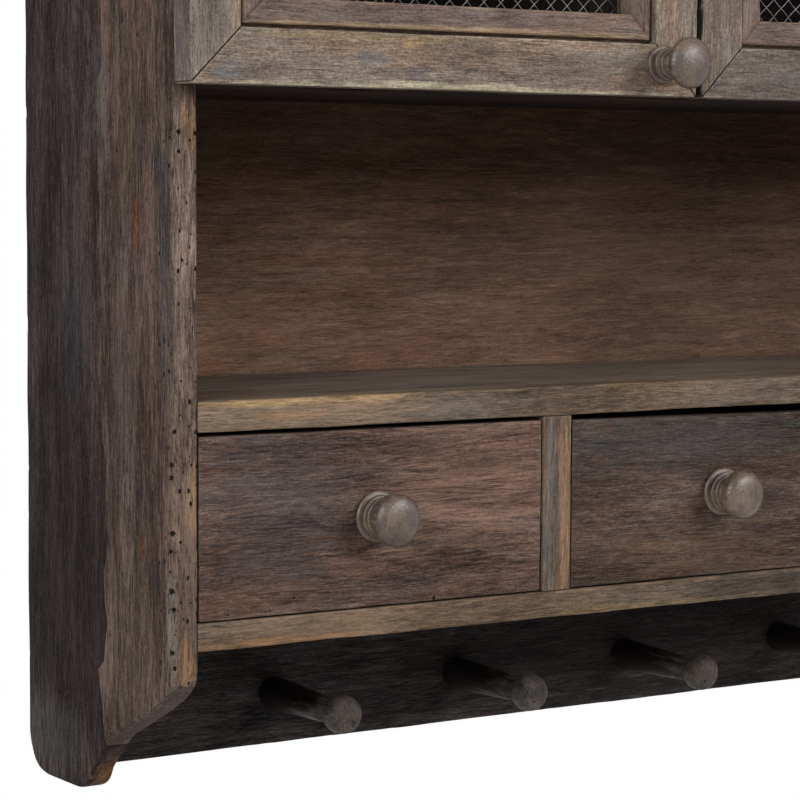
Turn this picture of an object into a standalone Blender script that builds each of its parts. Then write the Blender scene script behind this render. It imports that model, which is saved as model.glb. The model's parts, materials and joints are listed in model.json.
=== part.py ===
"""Rustic wall cabinet: wire-mesh doors over an open niche, a row of drawers and a peg rail.

Metres, +Z up. The wall is the plane y = 0 and the cabinet faces -Y. The origin lies on the wall face of the
back, at the middle of the hanging rail.
"""

import math

import bmesh
import bpy
from mathutils import Vector

# Carcass
WIDTH = 1.056
SIDE_DEPTH = 0.193
SIDE_T = 0.016
SIDE_SEAM = 0.095  # width of the front board of a side
SHELF_T = 0.018
BOTTOM_T = 0.0165
BACK_T = 0.0055
PEG_RAIL_H = 0.100
PEG_RAIL_T = 0.014
DRAWER_OPENING_H = 0.1085
NICHE_H = 0.1765
BAY_H = 0.306
TOP_T = 0.020
TOP_SIDE_OVERHANG = 0.012
TOP_FRONT_OVERHANG = 0.008
HANGING_RAIL_H = 0.050
HANGING_RAIL_T = 0.016
PARTITION_T = 0.018
FIT = 0.0003  # gap between pieces that touch
EASING = 0.0010  # chamfer on the edges of boards

# Lower end of a side, from the wall forwards: rounded heel, flat foot, toe, cove, and a belly to the front
HEEL_LENGTH = 0.025
HEEL_RISE = 0.032
FOOT_LENGTH = 0.038
TOE_LENGTH = 0.022
TOE_RISE = 0.012
COVE_LENGTH = 0.023
COVE_RISE = 0.027
BELLY_RISE = 0.047
CURVE_STEPS = 7

# Handles of those curves, as shares of the way from a curve's start to its end, in depth and in height
BELLY_BEND = ((0.0, 0.2), (0.33, 0.55))
COVE_BEND = ((0.5, 0.17), (0.87, 0.7))
TOE_BEND = ((0.11, 0.55), (0.45, 1.0))
HEEL_BEND = ((0.64, 0.03), (0.96, 0.3))

# Pegs
PEGS = 6
PEG_FROM_END = 0.152  # from the inner face of a side to the first peg
PEG_HEIGHT = 0.034
PEG_LENGTH = 0.0965
PEG_ROOT_R = 0.0110
PEG_NECK_R = 0.0080
PEG_HEAD_R = 0.0123
PEG_HEAD_T = 0.0175
PEG_BEAD_R = 0.0095
PEG_BEAD_T = 0.0024
PEG_TENON_R = 0.0060
PEG_BORE_FLOOR = 0.004  # wood left between a peg's bore and the wall
BORE_MOUTH = 0.002  # how far a boring tool starts in front of the face

# Drawers
DRAWERS = 4
DIVIDER_T = 0.0209
DRAWER_SIDE_GAP = 0.0012
DRAWER_UNDER_GAP = 0.0008
DRAWER_TOP_GAPS = (0.0024, 0.0034, 0.0026, 0.0030)
DRAWER_FRONT_T = 0.016
DRAWER_RECESS = 0.0008
DRAWER_BOX_TOP_GAP = 0.0237
DRAWER_BOX_SIDE_GAP = 0.0025
DRAWER_BOX_BACK_GAP = 0.006
DRAWER_WALL_T = 0.010
DRAWER_FLOOR_T = 0.006

# Doors
MIDDLE_DOOR_LESS = 0.0156  # how much narrower the middle door is than the outer ones
DOOR_GAP = 0.0039
DOOR_T = 0.020
DOOR_LIFT = 0.001
DOOR_TOP_GAP = 0.003
FRAME_W = 0.032
MITRE_GAP = 0.0005
MOULDING_W = 0.017
MOULDING_SINK = 0.003
MOULDING_GROOVE_W = 0.0026
MOULDING_GROOVE_DEPTH = 0.007
MOULDING_CHAMFER = 0.0016
MESH_T = 0.0012
MESH_BORDER = 0.006
MESH_WIRE_W = 0.0016
MESH_COLUMNS = 7
MESH_ROWS = 6
MESH_BACK_MARGIN = 0.001  # from the mesh to the back of the door

# Knobs
KNOB_HEAD_R = 0.01575
KNOB_HEAD_T = 0.0132
KNOB_FLANGE_T = 0.0036
KNOB_FLANGE_EASING = 0.0012
KNOB_GROOVE_T = 0.0010
KNOB_GROOVE_DEPTH = 0.0016
KNOB_COLLAR_T = 0.0034
KNOB_COLLAR_EASING = 0.0008
KNOB_NECK_R = 0.0068
KNOB_NECK_FLARE = 0.0008
DOOR_KNOB_FLANGE_R = 0.0115
DOOR_KNOB_COLLAR_R = 0.0094
DRAWER_KNOB_FLANGE_R = 0.0136
DRAWER_KNOB_COLLAR_R = 0.0112
DOOR_KNOB_REACH = 0.034
DRAWER_KNOB_REACH = 0.028
DOOR_KNOB_FROM_EDGE = 0.028
DOOR_KNOB_MARGIN = 0.001  # from the flange to the inner edge of the frame

# Hinges
HINGE_LENGTH = 0.045
HINGE_FROM_END = 0.066
HINGE_BARREL_R = 0.0025
HINGE_LEAF_T = 0.001
HINGE_LEAF_MARGIN = 0.004  # wood left beside a leaf on the edge of a side
CRANKED_LEAF_MARGIN = 0.0012  # the same on the edge of the partition
HINGE_SIDE_PLAY = 0.0005

# Facets of round pieces, and the angles from its widest ring at which a rounded head has points
ROUND_STEPS = 20
KNOB_STEPS = 22
BARREL_STEPS = 12
PEG_BEAD_TURNS = (-45, 0, 45)
PEG_HEAD_TURNS = (-50, -28, 0, 28, 52, 72)
KNOB_HEAD_TURNS = (-60, -30, 0, 30, 60, 82)
SMOOTH_ANGLE = 40  # edges sharper than this stay sharp

# Positions that follow from the sizes
LEFT = -WIDTH / 2
FRONT = -SIDE_DEPTH
INNER_LEFT = LEFT + SIDE_T
SIDE_H = PEG_RAIL_H + BOTTOM_T + DRAWER_OPENING_H + SHELF_T + NICHE_H + SHELF_T + BAY_H
FOOT_Z = HANGING_RAIL_H / 2 - SIDE_H
BOTTOM_Z = FOOT_Z + PEG_RAIL_H
DRAWER_Z = BOTTOM_Z + BOTTOM_T
NICHE_SHELF_Z = DRAWER_Z + DRAWER_OPENING_H
UPPER_SHELF_Z = NICHE_SHELF_Z + SHELF_T + NICHE_H
BAY_Z = UPPER_SHELF_Z + SHELF_T
TOP_Z = BAY_Z + BAY_H
DOOR_BACK_Y = FRONT - 2 * HINGE_LEAF_T  # a closed hinge holds the door off by its two leaves
DOOR_FACE_Y = DOOR_BACK_Y - DOOR_T
DOOR_Z = UPPER_SHELF_Z + DOOR_LIFT
DOOR_H = TOP_Z - DOOR_TOP_GAP - DOOR_Z
SIDE_DOOR_W = (WIDTH - 2 * DOOR_GAP + MIDDLE_DOOR_LESS) / 3
MIDDLE_DOOR_W = SIDE_DOOR_W - MIDDLE_DOOR_LESS
FIRST_GAP_X = LEFT + SIDE_DOOR_W + DOOR_GAP / 2
MOULDING_FACE_Y = DOOR_FACE_Y + MOULDING_SINK
MESH_Y = DOOR_BACK_Y - MESH_BACK_MARGIN - MESH_T
DRAWER_OPENING_W = (WIDTH - 2 * SIDE_T - (DRAWERS - 1) * DIVIDER_T) / DRAWERS
DRAWER_PITCH = DRAWER_OPENING_W + DIVIDER_T
FIRST_PEG_X = INNER_LEFT + PEG_FROM_END
PEG_PITCH = -2 * FIRST_PEG_X / (PEGS - 1)
SIDE_HINGE_X = HINGE_BARREL_R + HINGE_SIDE_PLAY  # barrel axis, outside the door's edge
SIDE_HINGE_Y = FRONT - FIT - HINGE_LEAF_T / 2
MIDDLE_HINGE_Y = DOOR_FACE_Y - FIT - HINGE_BARREL_R

WOODS = {
    "pale_board": ((0.135, 0.110, 0.098), 0.78),
    "dark_board": ((0.048, 0.042, 0.040), 0.80),
    "brown_board": ((0.110, 0.078, 0.056), 0.78),
    "niche_back": ((0.082, 0.052, 0.036), 0.78),
    "door_frame": ((0.160, 0.138, 0.118), 0.76),
    "door_moulding": ((0.130, 0.104, 0.086), 0.76),
    "drawer_front": ((0.096, 0.062, 0.048), 0.74),
    "drawer_box": ((0.240, 0.175, 0.115), 0.80),
    "knob": ((0.165, 0.130, 0.105), 0.50),
    "peg": ((0.085, 0.068, 0.056), 0.66),
}
METALS = {
    "steel": ((0.30, 0.29, 0.27), 0.45),
    "wire": ((0.46, 0.46, 0.45), 0.40),
}


def material(node, kind):
    metal = kind in METALS
    colour, roughness = (METALS if metal else WOODS)[kind]
    made = bpy.data.materials.new(f"{node}_{kind}")
    made.use_nodes = True
    shader = made.node_tree.nodes["Principled BSDF"]
    shader.inputs["Base Color"].default_value = (*colour, 1)
    shader.inputs["Roughness"].default_value = roughness
    shader.inputs["Metallic"].default_value = float(metal)
    made.diffuse_color = (*colour, 1)
    return made


def add(name, mesh, kind, origin=(0, 0, 0), parent=None):
    """Turns a bmesh in world coordinates into a named object whose origin is the given point."""
    bmesh.ops.translate(mesh, verts=mesh.verts, vec=-Vector(origin))
    bmesh.ops.recalc_face_normals(mesh, faces=mesh.faces)
    data = bpy.data.meshes.new(name)
    mesh.to_mesh(data)
    mesh.free()
    data.shade_smooth()
    data.set_sharp_from_angle(angle=math.radians(SMOOTH_ANGLE))
    data.materials.append(material(name, kind))
    made = bpy.data.objects.new(name, data)
    bpy.context.scene.collection.objects.link(made)
    made.location = origin
    if parent:
        made.parent = parent
        made.location = Vector(origin) - parent.location
    return made


def pivot(name, place):
    """An empty on a joint's axis, which carries the pieces that move with it."""
    made = bpy.data.objects.new(name, None)
    made.location = place
    bpy.context.scene.collection.objects.link(made)
    return made


def prism(outline, axis, low, high):
    """A solid pushed along X, Y or Z from low to high. The outline's pairs are on the two other axes."""
    mesh = bmesh.new()
    order = {"X": (2, 0, 1), "Y": (0, 2, 1), "Z": (0, 1, 2)}[axis]
    rings = []
    for end in (low, high):
        points = [(a, b, end) for a, b in outline]
        rings.append([mesh.verts.new([point[i] for i in order]) for point in points])
    mesh.faces.new(rings[0])
    mesh.faces.new(rings[1])
    for i in range(len(outline)):
        j = (i + 1) % len(outline)
        mesh.faces.new((rings[0][i], rings[0][j], rings[1][j], rings[1][i]))
    return mesh


def block(low, high):
    (x0, y0, z0), (x1, y1, z1) = low, high
    return prism([(x0, y0), (x1, y0), (x1, y1), (x0, y1)], "Z", z0, z1)


def eased(mesh):
    """Chamfers the sharp edges, as on a board whose arrises are broken."""
    bmesh.ops.recalc_face_normals(mesh, faces=mesh.faces)
    sharp = [edge for edge in mesh.edges if edge.calc_face_angle(0) > math.radians(SMOOTH_ANGLE)]
    bmesh.ops.bevel(mesh, geom=sharp, offset=EASING, segments=1, affect="EDGES", clamp_overlap=True)
    return mesh


def board(name, kind, low, high, **place):
    return add(name, eased(block(low, high)), kind, **place)


def turned(profile, base, steps):
    """A solid turned about the -Y axis through base, from one point on the axis to another.

    The profile's pairs are reach from base and radius, and its first and last radius are 0.
    """
    mesh = bmesh.new()
    spokes = [Vector((math.cos(a), 0, math.sin(a))) for a in (2 * math.pi * i / steps for i in range(steps))]
    ends = [mesh.verts.new((base[0], base[1] - reach, base[2])) for reach, _ in (profile[0], profile[-1])]
    rings = []
    for reach, radius in profile[1:-1]:
        centre = Vector((base[0], base[1] - reach, base[2]))
        rings.append([mesh.verts.new(centre + radius * spoke) for spoke in spokes])
    for i in range(steps):
        j = (i + 1) % steps
        mesh.faces.new((ends[0], rings[0][j], rings[0][i]))
        mesh.faces.new((ends[1], rings[-1][i], rings[-1][j]))
        for near, far in zip(rings, rings[1:]):
            mesh.faces.new((near[i], near[j], far[j], far[i]))
    return mesh


def rounded(middle, thickness, radius, turns):
    """Profile points of a rounded head, at these angles from its widest ring."""
    angles = [math.radians(turn) for turn in turns]
    return [(middle + thickness / 2 * math.sin(a), radius * math.cos(a)) for a in angles]


def curve(start, end, bend):
    """Points of a cubic curve after its start."""
    way = Vector(end) - Vector(start)
    handles = [Vector(start) + Vector((share[0] * way.x, share[1] * way.y)) for share in bend]
    controls = (Vector(start), *handles, Vector(end))
    points = []
    for i in range(1, CURVE_STEPS + 1):
        t = i / CURVE_STEPS
        weights = ((1 - t) ** 3, 3 * t * (1 - t) ** 2, 3 * t * t * (1 - t), t**3)
        points.append(tuple(sum((w * p for w, p in zip(weights, controls)), Vector((0, 0)))))
    return points


def side_underside():
    """Lower outline of a side from front to wall, as depth from the front and height over the foot."""
    heel_start = (SIDE_DEPTH - HEEL_LENGTH, 0.0)
    toe_end = (heel_start[0] - FOOT_LENGTH, 0.0)
    cove_end = (toe_end[0] - TOE_LENGTH, TOE_RISE)
    belly_end = (cove_end[0] - COVE_LENGTH, TOE_RISE + COVE_RISE)
    belly_top = (0.0, TOE_RISE + COVE_RISE + BELLY_RISE)
    points = [belly_top]
    points += curve(belly_top, belly_end, BELLY_BEND)
    points += curve(belly_end, cove_end, COVE_BEND)
    points += curve(cove_end, toe_end, TOE_BEND)
    points.append(heel_start)
    points += curve(heel_start, (SIDE_DEPTH, HEEL_RISE), HEEL_BEND)
    return points


def height_at(outline, depth):
    """Height of the outline at a depth between its ends."""
    for (y0, z0), (y1, z1) in zip(outline, outline[1:]):
        if y0 < depth <= y1:
            return z0 + (z1 - z0) * (depth - y0) / (y1 - y0)
    raise ValueError(f"the side has no underside at depth {depth}")


def side_board(name, kind, below, low_x):
    """One board of a side, over a stretch of the side's lower outline."""
    outline = [(FRONT + y, FOOT_Z + z) for y, z in below]
    outline += [(FRONT + below[-1][0], TOP_Z - FIT), (FRONT + below[0][0], TOP_Z - FIT)]
    return add(name, eased(prism(outline, "X", low_x, low_x + SIDE_T)), kind)


def make_sides():
    under = side_underside()
    front_end = SIDE_SEAM - FIT / 2
    rear_start = SIDE_SEAM + FIT / 2
    front = [point for point in under if point[0] < front_end - FIT]
    front.append((front_end, height_at(under, front_end)))
    rear = [(rear_start, height_at(under, rear_start))]
    rear += [point for point in under if point[0] > rear_start + FIT]
    for hand, low_x in (("left", LEFT), ("right", -INNER_LEFT)):
        side_board(f"{hand}_side_front_board", "pale_board", front, low_x)
        side_board(f"{hand}_side_rear_board", "dark_board", rear, low_x)


def make_boards():
    inner = INNER_LEFT + FIT
    shelf_back = -BACK_T - FIT
    top_side = WIDTH / 2 + TOP_SIDE_OVERHANG
    top_front = DOOR_FACE_Y - TOP_FRONT_OVERHANG
    board("top_board", "brown_board", (-top_side, top_front, TOP_Z), (top_side, 0, TOP_Z + TOP_T))
    for name, low in (("upper_shelf", UPPER_SHELF_Z), ("niche_shelf", NICHE_SHELF_Z)):
        board(name, "brown_board", (inner, FRONT, low), (-inner, shelf_back, low + SHELF_T))
    board("bottom_board", "brown_board", (inner, FRONT, BOTTOM_Z), (-inner, shelf_back, DRAWER_Z))
    panel = block((inner, -BACK_T, BOTTOM_Z + FIT), (-inner, 0, TOP_Z - FIT))
    add("back_panel", panel, "niche_back")
    rail_y = shelf_back - HANGING_RAIL_T
    rail_z = TOP_Z - HANGING_RAIL_H
    board("hanging_rail", "brown_board", (inner, rail_y, rail_z), (-inner, shelf_back, TOP_Z - FIT))

    outline = [
        (FRONT, BAY_Z + FIT),
        (shelf_back, BAY_Z + FIT),
        (shelf_back, rail_z - FIT),
        (rail_y - FIT, rail_z - FIT),
        (rail_y - FIT, TOP_Z - FIT),
        (FRONT, TOP_Z - FIT),
    ]
    low_x = FIRST_GAP_X - PARTITION_T / 2
    add("bay_partition", eased(prism(outline, "X", low_x, low_x + PARTITION_T)), "brown_board")

    for i in range(1, DRAWERS):
        high_x = INNER_LEFT + i * DRAWER_PITCH
        low = (high_x - DIVIDER_T, FRONT, DRAWER_Z + FIT)
        high = (high_x, shelf_back, NICHE_SHELF_Z - FIT)
        board(f"drawer_divider_{i}", "brown_board", low, high)


def bore(piece, base, depth, radius):
    """Bores a blind round hole into a piece from its front face."""
    profile = [(-depth, 0), (-depth, radius), (BORE_MOUTH, radius), (BORE_MOUTH, 0)]
    cutter = add(f"{piece.name}_bore_{len(piece.modifiers) + 1}", turned(profile, base, ROUND_STEPS), "peg")
    cutter.hide_render = True
    cutter.display_type = "WIRE"
    cut = piece.modifiers.new(cutter.name, "BOOLEAN")
    cut.operation = "DIFFERENCE"
    cut.solver = "EXACT"
    cut.object = cutter


def make_peg_rail():
    inner = INNER_LEFT + FIT
    face = -PEG_RAIL_T
    plank = eased(block((inner, face, FOOT_Z), (-inner, 0, BOTTOM_Z - FIT)))
    for i in range(1, PEGS):
        # Faces end halfway between pegs, so that each face has one hole.
        halfway = Vector((FIRST_PEG_X + (i - 0.5) * PEG_PITCH, 0, 0))
        everything = [*plank.verts, *plank.edges, *plank.faces]
        bmesh.ops.bisect_plane(plank, geom=everything, plane_co=halfway, plane_no=(1, 0, 0))
    rail = add("peg_rail", plank, "dark_board")
    bore_depth = PEG_RAIL_T - PEG_BORE_FLOOR
    tenon = bore_depth - FIT
    profile = [(-tenon, 0), (-tenon, PEG_TENON_R), (FIT, PEG_TENON_R), (FIT, PEG_ROOT_R)]
    head = rounded(PEG_LENGTH - PEG_HEAD_T / 2, PEG_HEAD_T, PEG_HEAD_R, PEG_HEAD_TURNS)
    neck_end = head[0][0]
    bead_start = neck_end - PEG_BEAD_T
    bead = rounded(bead_start + PEG_BEAD_T / 2, PEG_BEAD_T, PEG_BEAD_R, PEG_BEAD_TURNS)
    profile += [(bead_start, PEG_NECK_R), *bead, (neck_end, PEG_NECK_R), *head[1:], (PEG_LENGTH, 0)]
    for i in range(PEGS):
        base = (FIRST_PEG_X + i * PEG_PITCH, face, FOOT_Z + PEG_HEIGHT)
        bore(rail, base, bore_depth, PEG_TENON_R + FIT)
        add(f"peg_{i + 1}", turned(profile, base, ROUND_STEPS), "peg")


def disc(start, thickness, radius, easing):
    """Profile points of a turned disc with eased rims."""
    end = start + thickness
    rim = radius - easing
    return [(start, rim), (start + easing, radius), (end - easing, radius), (end, rim)]


def knob(name, base, reach, flange_r, collar_r, **place):
    """A turned knob: flange, groove, collar, waisted neck and flattened head."""
    head = rounded(reach - KNOB_HEAD_T / 2, KNOB_HEAD_T, KNOB_HEAD_R, KNOB_HEAD_TURNS)
    groove_r = collar_r - KNOB_GROOVE_DEPTH
    collar_start = KNOB_FLANGE_T + KNOB_GROOVE_T
    collar_end = collar_start + KNOB_COLLAR_T
    profile = [
        (0, 0),
        *disc(0, KNOB_FLANGE_T, flange_r, KNOB_FLANGE_EASING),
        (KNOB_FLANGE_T, groove_r),
        (collar_start, groove_r),
        *disc(collar_start, KNOB_COLLAR_T, collar_r, KNOB_COLLAR_EASING),
        (collar_end, KNOB_NECK_R + KNOB_NECK_FLARE),
        ((collar_end + head[0][0]) / 2, KNOB_NECK_R),
        *head,
        (reach, 0),
    ]
    add(name, turned(profile, base, KNOB_STEPS), "knob", **place)


def tray(low, high):
    """An open-topped drawer box whose front is left to the drawer front: two sides, a back and a floor."""
    mesh = bmesh.new()
    (x0, y0, z0), (x1, y1, z1) = low, high
    in_x0, in_x1, in_y1 = x0 + DRAWER_WALL_T, x1 - DRAWER_WALL_T, y1 - DRAWER_WALL_T
    plan = [(x0, y0), (x1, y0), (x1, y1), (x0, y1)]
    hollow = [(in_x0, y0), (in_x1, y0), (in_x1, in_y1), (in_x0, in_y1)]
    under = [mesh.verts.new((x, y, z0)) for x, y in plan]
    rim = [mesh.verts.new((x, y, z1)) for x, y in plan]
    lip = [mesh.verts.new((x, y, z1)) for x, y in hollow]
    bed = [mesh.verts.new((x, y, z0 + DRAWER_FLOOR_T)) for x, y in hollow]
    mesh.faces.new(under)
    mesh.faces.new(bed)
    mesh.faces.new((under[0], rim[0], lip[0], bed[0], bed[1], lip[1], rim[1], under[1]))
    for i, j in ((1, 2), (2, 3), (3, 0)):
        mesh.faces.new((under[i], under[j], rim[j], rim[i]))
        mesh.faces.new((rim[i], rim[j], lip[j], lip[i]))
        mesh.faces.new((lip[i], lip[j], bed[j], bed[i]))
    return mesh


def make_drawers():
    low_z = DRAWER_Z + DRAWER_UNDER_GAP
    face = FRONT + DRAWER_RECESS
    front_back = face + DRAWER_FRONT_T
    box_back = -BACK_T - DRAWER_BOX_BACK_GAP
    for i in range(DRAWERS):
        number = i + 1
        low_x = INNER_LEFT + i * DRAWER_PITCH
        high_x = low_x + DRAWER_OPENING_W
        middle = (low_x + high_x) / 2
        slide = pivot(f"drawer_{number}_slide", (middle, face, DRAWER_Z))
        place = {"origin": slide.location.copy(), "parent": slide}

        top = NICHE_SHELF_Z - DRAWER_TOP_GAPS[i % len(DRAWER_TOP_GAPS)]
        low = (low_x + DRAWER_SIDE_GAP, face, low_z)
        high = (high_x - DRAWER_SIDE_GAP, front_back, top)
        board(f"drawer_{number}_front", "drawer_front", low, high, **place)

        low = (low_x + DRAWER_BOX_SIDE_GAP, front_back + FIT, low_z)
        high = (high_x - DRAWER_BOX_SIDE_GAP, box_back, NICHE_SHELF_Z - DRAWER_BOX_TOP_GAP)
        add(f"drawer_{number}_box", tray(low, high), "drawer_box", **place)

        knob_at = (middle, face - FIT, (DRAWER_Z + NICHE_SHELF_Z) / 2)
        radii = (DRAWER_KNOB_FLANGE_R, DRAWER_KNOB_COLLAR_R)
        knob(f"drawer_{number}_knob", knob_at, DRAWER_KNOB_REACH, *radii, **place)


def make_moulding(name, low, high, **place):
    """A mitred frame of moulding inside the door frame, with a sunk groove along its outer edge."""
    back = MESH_Y - FIT
    groove = MOULDING_FACE_Y + MOULDING_GROOVE_DEPTH
    section = [
        (FIT, groove),
        (MOULDING_GROOVE_W, groove),
        (MOULDING_GROOVE_W, MOULDING_FACE_Y),
        (MOULDING_W - MOULDING_CHAMFER, MOULDING_FACE_Y),
        (MOULDING_W, MOULDING_FACE_Y + MOULDING_CHAMFER),
        (MOULDING_W, back),
        (FIT, back),
    ]
    mesh = bmesh.new()
    rings = []
    for inset, y in section:
        x0, z0 = low[0] + inset, low[1] + inset
        x1, z1 = high[0] - inset, high[1] - inset
        rings.append([mesh.verts.new((x, y, z)) for x, z in ((x0, z0), (x1, z0), (x1, z1), (x0, z1))])
    for here, there in zip(rings, rings[1:] + rings[:1]):
        for i in range(4):
            j = (i + 1) % 4
            mesh.faces.new((here[i], here[j], there[j], there[i]))
    add(name, mesh, "door_moulding", **place)


def inset_corners(corners, distance):
    """The corners of a convex outline after each of its edges has moved inwards."""
    moved = []
    for i, corner in enumerate(corners):
        before = (corner - corners[i - 1]).normalized()
        after = (corners[(i + 1) % len(corners)] - corner).normalized()
        inward = Vector((-before.y, before.x)), Vector((-after.y, after.x))
        moved.append(corner + distance * (inward[0] + inward[1]) / (1 + inward[0].dot(inward[1])))
    return moved


def make_mesh(name, low, high, **place):
    """A flat net of diamonds between two corners, with a plain border outside them.

    Wires cross on the even points of a grid, and an odd point is the middle of a diamond.
    """
    across, up = 2 * MESH_COLUMNS, 2 * MESH_ROWS
    step = Vector(((high[0] - low[0]) / across, (high[1] - low[1]) / up))
    layers = (MESH_Y, MESH_Y + MESH_T)
    mesh = bmesh.new()
    crossings = {}

    def at(i, j):
        return Vector((low[0] + i * step.x, low[1] + j * step.y))

    def crossing(i, j, layer):
        if (i, j, layer) not in crossings:
            crossings[i, j, layer] = mesh.verts.new((at(i, j).x, layers[layer], at(i, j).y))
        return crossings[i, j, layer]

    for i in range(across + 1):
        for j in range(1 - i % 2, up + 1, 2):
            around = [(i - 1, j), (i, j - 1), (i + 1, j), (i, j + 1)]
            around = [(a, b) for a, b in around if 0 <= a <= across and 0 <= b <= up]
            hole = inset_corners([at(a, b) for a, b in around], MESH_WIRE_W / 2)
            edge = [[mesh.verts.new((p.x, y, p.y)) for p in hole] for y in layers]
            for k in range(len(around)):
                m = (k + 1) % len(around)
                for layer in (0, 1):
                    wire = crossing(*around[k], layer), crossing(*around[m], layer)
                    mesh.faces.new((wire[0], wire[1], edge[layer][m], edge[layer][k]))
                mesh.faces.new((edge[0][k], edge[0][m], edge[1][m], edge[1][k]))

    border = [(i, 0) for i in range(0, across, 2)] + [(across, j) for j in range(0, up, 2)]
    border += [(i, up) for i in range(across, 0, -2)] + [(0, j) for j in range(up, 0, -2)]
    rim = []
    for i, j in border:
        x, z = at(i, j)
        x += MESH_BORDER * ((i == across) - (i == 0))
        z += MESH_BORDER * ((j == up) - (j == 0))
        rim.append([mesh.verts.new((x, y, z)) for y in layers])
    for k in range(len(border)):
        m = (k + 1) % len(border)
        for layer in (0, 1):
            inner = crossing(*border[k], layer), crossing(*border[m], layer)
            mesh.faces.new((inner[0], inner[1], rim[m][layer], rim[k][layer]))
        mesh.faces.new((rim[k][0], rim[m][0], rim[m][1], rim[k][1]))
    add(name, mesh, "wire", **place)


def make_door(number, low_x, width, knob_side, axis):
    """One door: mitred stiles and rails, moulding, mesh and knob, carried by an empty on the hinge axis."""
    swing = pivot(f"door_{number}_swing", (axis[0], axis[1], DOOR_Z))
    place = {"origin": swing.location.copy(), "parent": swing}
    high_x = low_x + width
    low_z = DOOR_Z
    high_z = DOOR_Z + DOOR_H
    cut = MITRE_GAP / math.sqrt(2)
    in_x0, in_x1 = low_x + FRAME_W, high_x - FRAME_W
    in_z0, in_z1 = low_z + FRAME_W, high_z - FRAME_W
    outlines = {}
    for member, x, in_x in (("left_stile", low_x, in_x0), ("right_stile", high_x, in_x1)):
        outlines[member] = [(x, low_z + cut), (in_x, in_z0 + cut), (in_x, in_z1 - cut), (x, high_z - cut)]
    for member, z, in_z in (("bottom_rail", low_z, in_z0), ("top_rail", high_z, in_z1)):
        outlines[member] = [(low_x + cut, z), (high_x - cut, z), (in_x1 - cut, in_z), (in_x0 + cut, in_z)]
    for member, outline in outlines.items():
        solid = eased(prism(outline, "Y", DOOR_FACE_Y, DOOR_BACK_Y))
        add(f"door_{number}_{member}", solid, "door_frame", **place)

    make_moulding(f"door_{number}_moulding", (in_x0, in_z0), (in_x1, in_z1), **place)
    net_low = (in_x0 + MOULDING_W, in_z0 + MOULDING_W)
    net_high = (in_x1 - MOULDING_W, in_z1 - MOULDING_W)
    make_mesh(f"door_{number}_mesh", net_low, net_high, **place)

    knob_x = high_x - DOOR_KNOB_FROM_EDGE if knob_side == "right" else low_x + DOOR_KNOB_FROM_EDGE
    knob_z = in_z0 - DOOR_KNOB_MARGIN - DOOR_KNOB_FLANGE_R
    knob_at = (knob_x, DOOR_FACE_Y - FIT, knob_z)
    radii = (DOOR_KNOB_FLANGE_R, DOOR_KNOB_COLLAR_R)
    knob(f"door_{number}_knob", knob_at, DOOR_KNOB_REACH, *radii, **place)


def barrel_arc(centre, opening):
    """Points round a hinge barrel, from one side of the leaf that joins it at this angle to the other."""
    half = math.degrees(math.asin(HINGE_LEAF_T / 2 / HINGE_BARREL_R))
    points = []
    for i in range(BARREL_STEPS + 1):
        angle = math.radians(opening + half + (360 - 2 * half) * i / BARREL_STEPS)
        x = centre[0] + HINGE_BARREL_R * math.cos(angle)
        y = centre[1] + HINGE_BARREL_R * math.sin(angle)
        points.append((x, y))
    return points


def side_leaf(axis, inward):
    """Plan of a plain hinge: a barrel outside the door's edge and a leaf on the front edge of the side."""
    half = HINGE_LEAF_T / 2
    end = axis[0] + inward * (SIDE_HINGE_X + SIDE_T - HINGE_LEAF_MARGIN)
    arc = barrel_arc(axis, 0 if inward > 0 else 180)
    return arc + [(end, axis[1] - inward * half), (end, axis[1] + inward * half)]


def cranked_leaf(axis):
    """Plan of a cranked hinge: a barrel before the door gap, a leaf through it, a foot on the partition."""
    half = HINGE_LEAF_T / 2
    foot_back = FRONT - FIT
    end = axis[0] + PARTITION_T / 2 - CRANKED_LEAF_MARGIN
    return barrel_arc(axis, 90) + [
        (axis[0] + half, foot_back - HINGE_LEAF_T),
        (end, foot_back - HINGE_LEAF_T),
        (end, foot_back),
        (axis[0] - half, foot_back),
    ]


def make_hinges(number, plan):
    """The fixed leaves of a door's two hinges, with their barrels."""
    lower = DOOR_Z + HINGE_FROM_END
    upper = DOOR_Z + DOOR_H - HINGE_FROM_END - HINGE_LENGTH
    for place, low_z in (("lower", lower), ("upper", upper)):
        add(f"door_{number}_{place}_hinge", prism(plan, "Z", low_z, low_z + HINGE_LENGTH), "steel")


def make_doors():
    left_axis = (LEFT - SIDE_HINGE_X, SIDE_HINGE_Y)
    middle_axis = (FIRST_GAP_X, MIDDLE_HINGE_Y)
    right_axis = (-left_axis[0], SIDE_HINGE_Y)
    make_door(1, LEFT, SIDE_DOOR_W, "right", left_axis)
    make_door(2, FIRST_GAP_X + DOOR_GAP / 2, MIDDLE_DOOR_W, "right", middle_axis)
    make_door(3, -LEFT - SIDE_DOOR_W, SIDE_DOOR_W, "left", right_axis)
    make_hinges(1, side_leaf(left_axis, 1))
    make_hinges(2, cranked_leaf(middle_axis))
    make_hinges(3, side_leaf(right_axis, -1))


for leftover in list(bpy.data.objects):
    bpy.data.objects.remove(leftover, do_unlink=True)

make_sides()
make_boards()
make_peg_rail()
make_drawers()
make_doors()
bpy.context.view_layer.update()
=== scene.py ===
"""Rustic wall cabinet as it looks: worn reclaimed boards, turned knobs and pegs, woven wire and steel hinges.

Metres, +Z up. The wall is the plane y = 0 and the cabinet faces -Y.
"""

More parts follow.
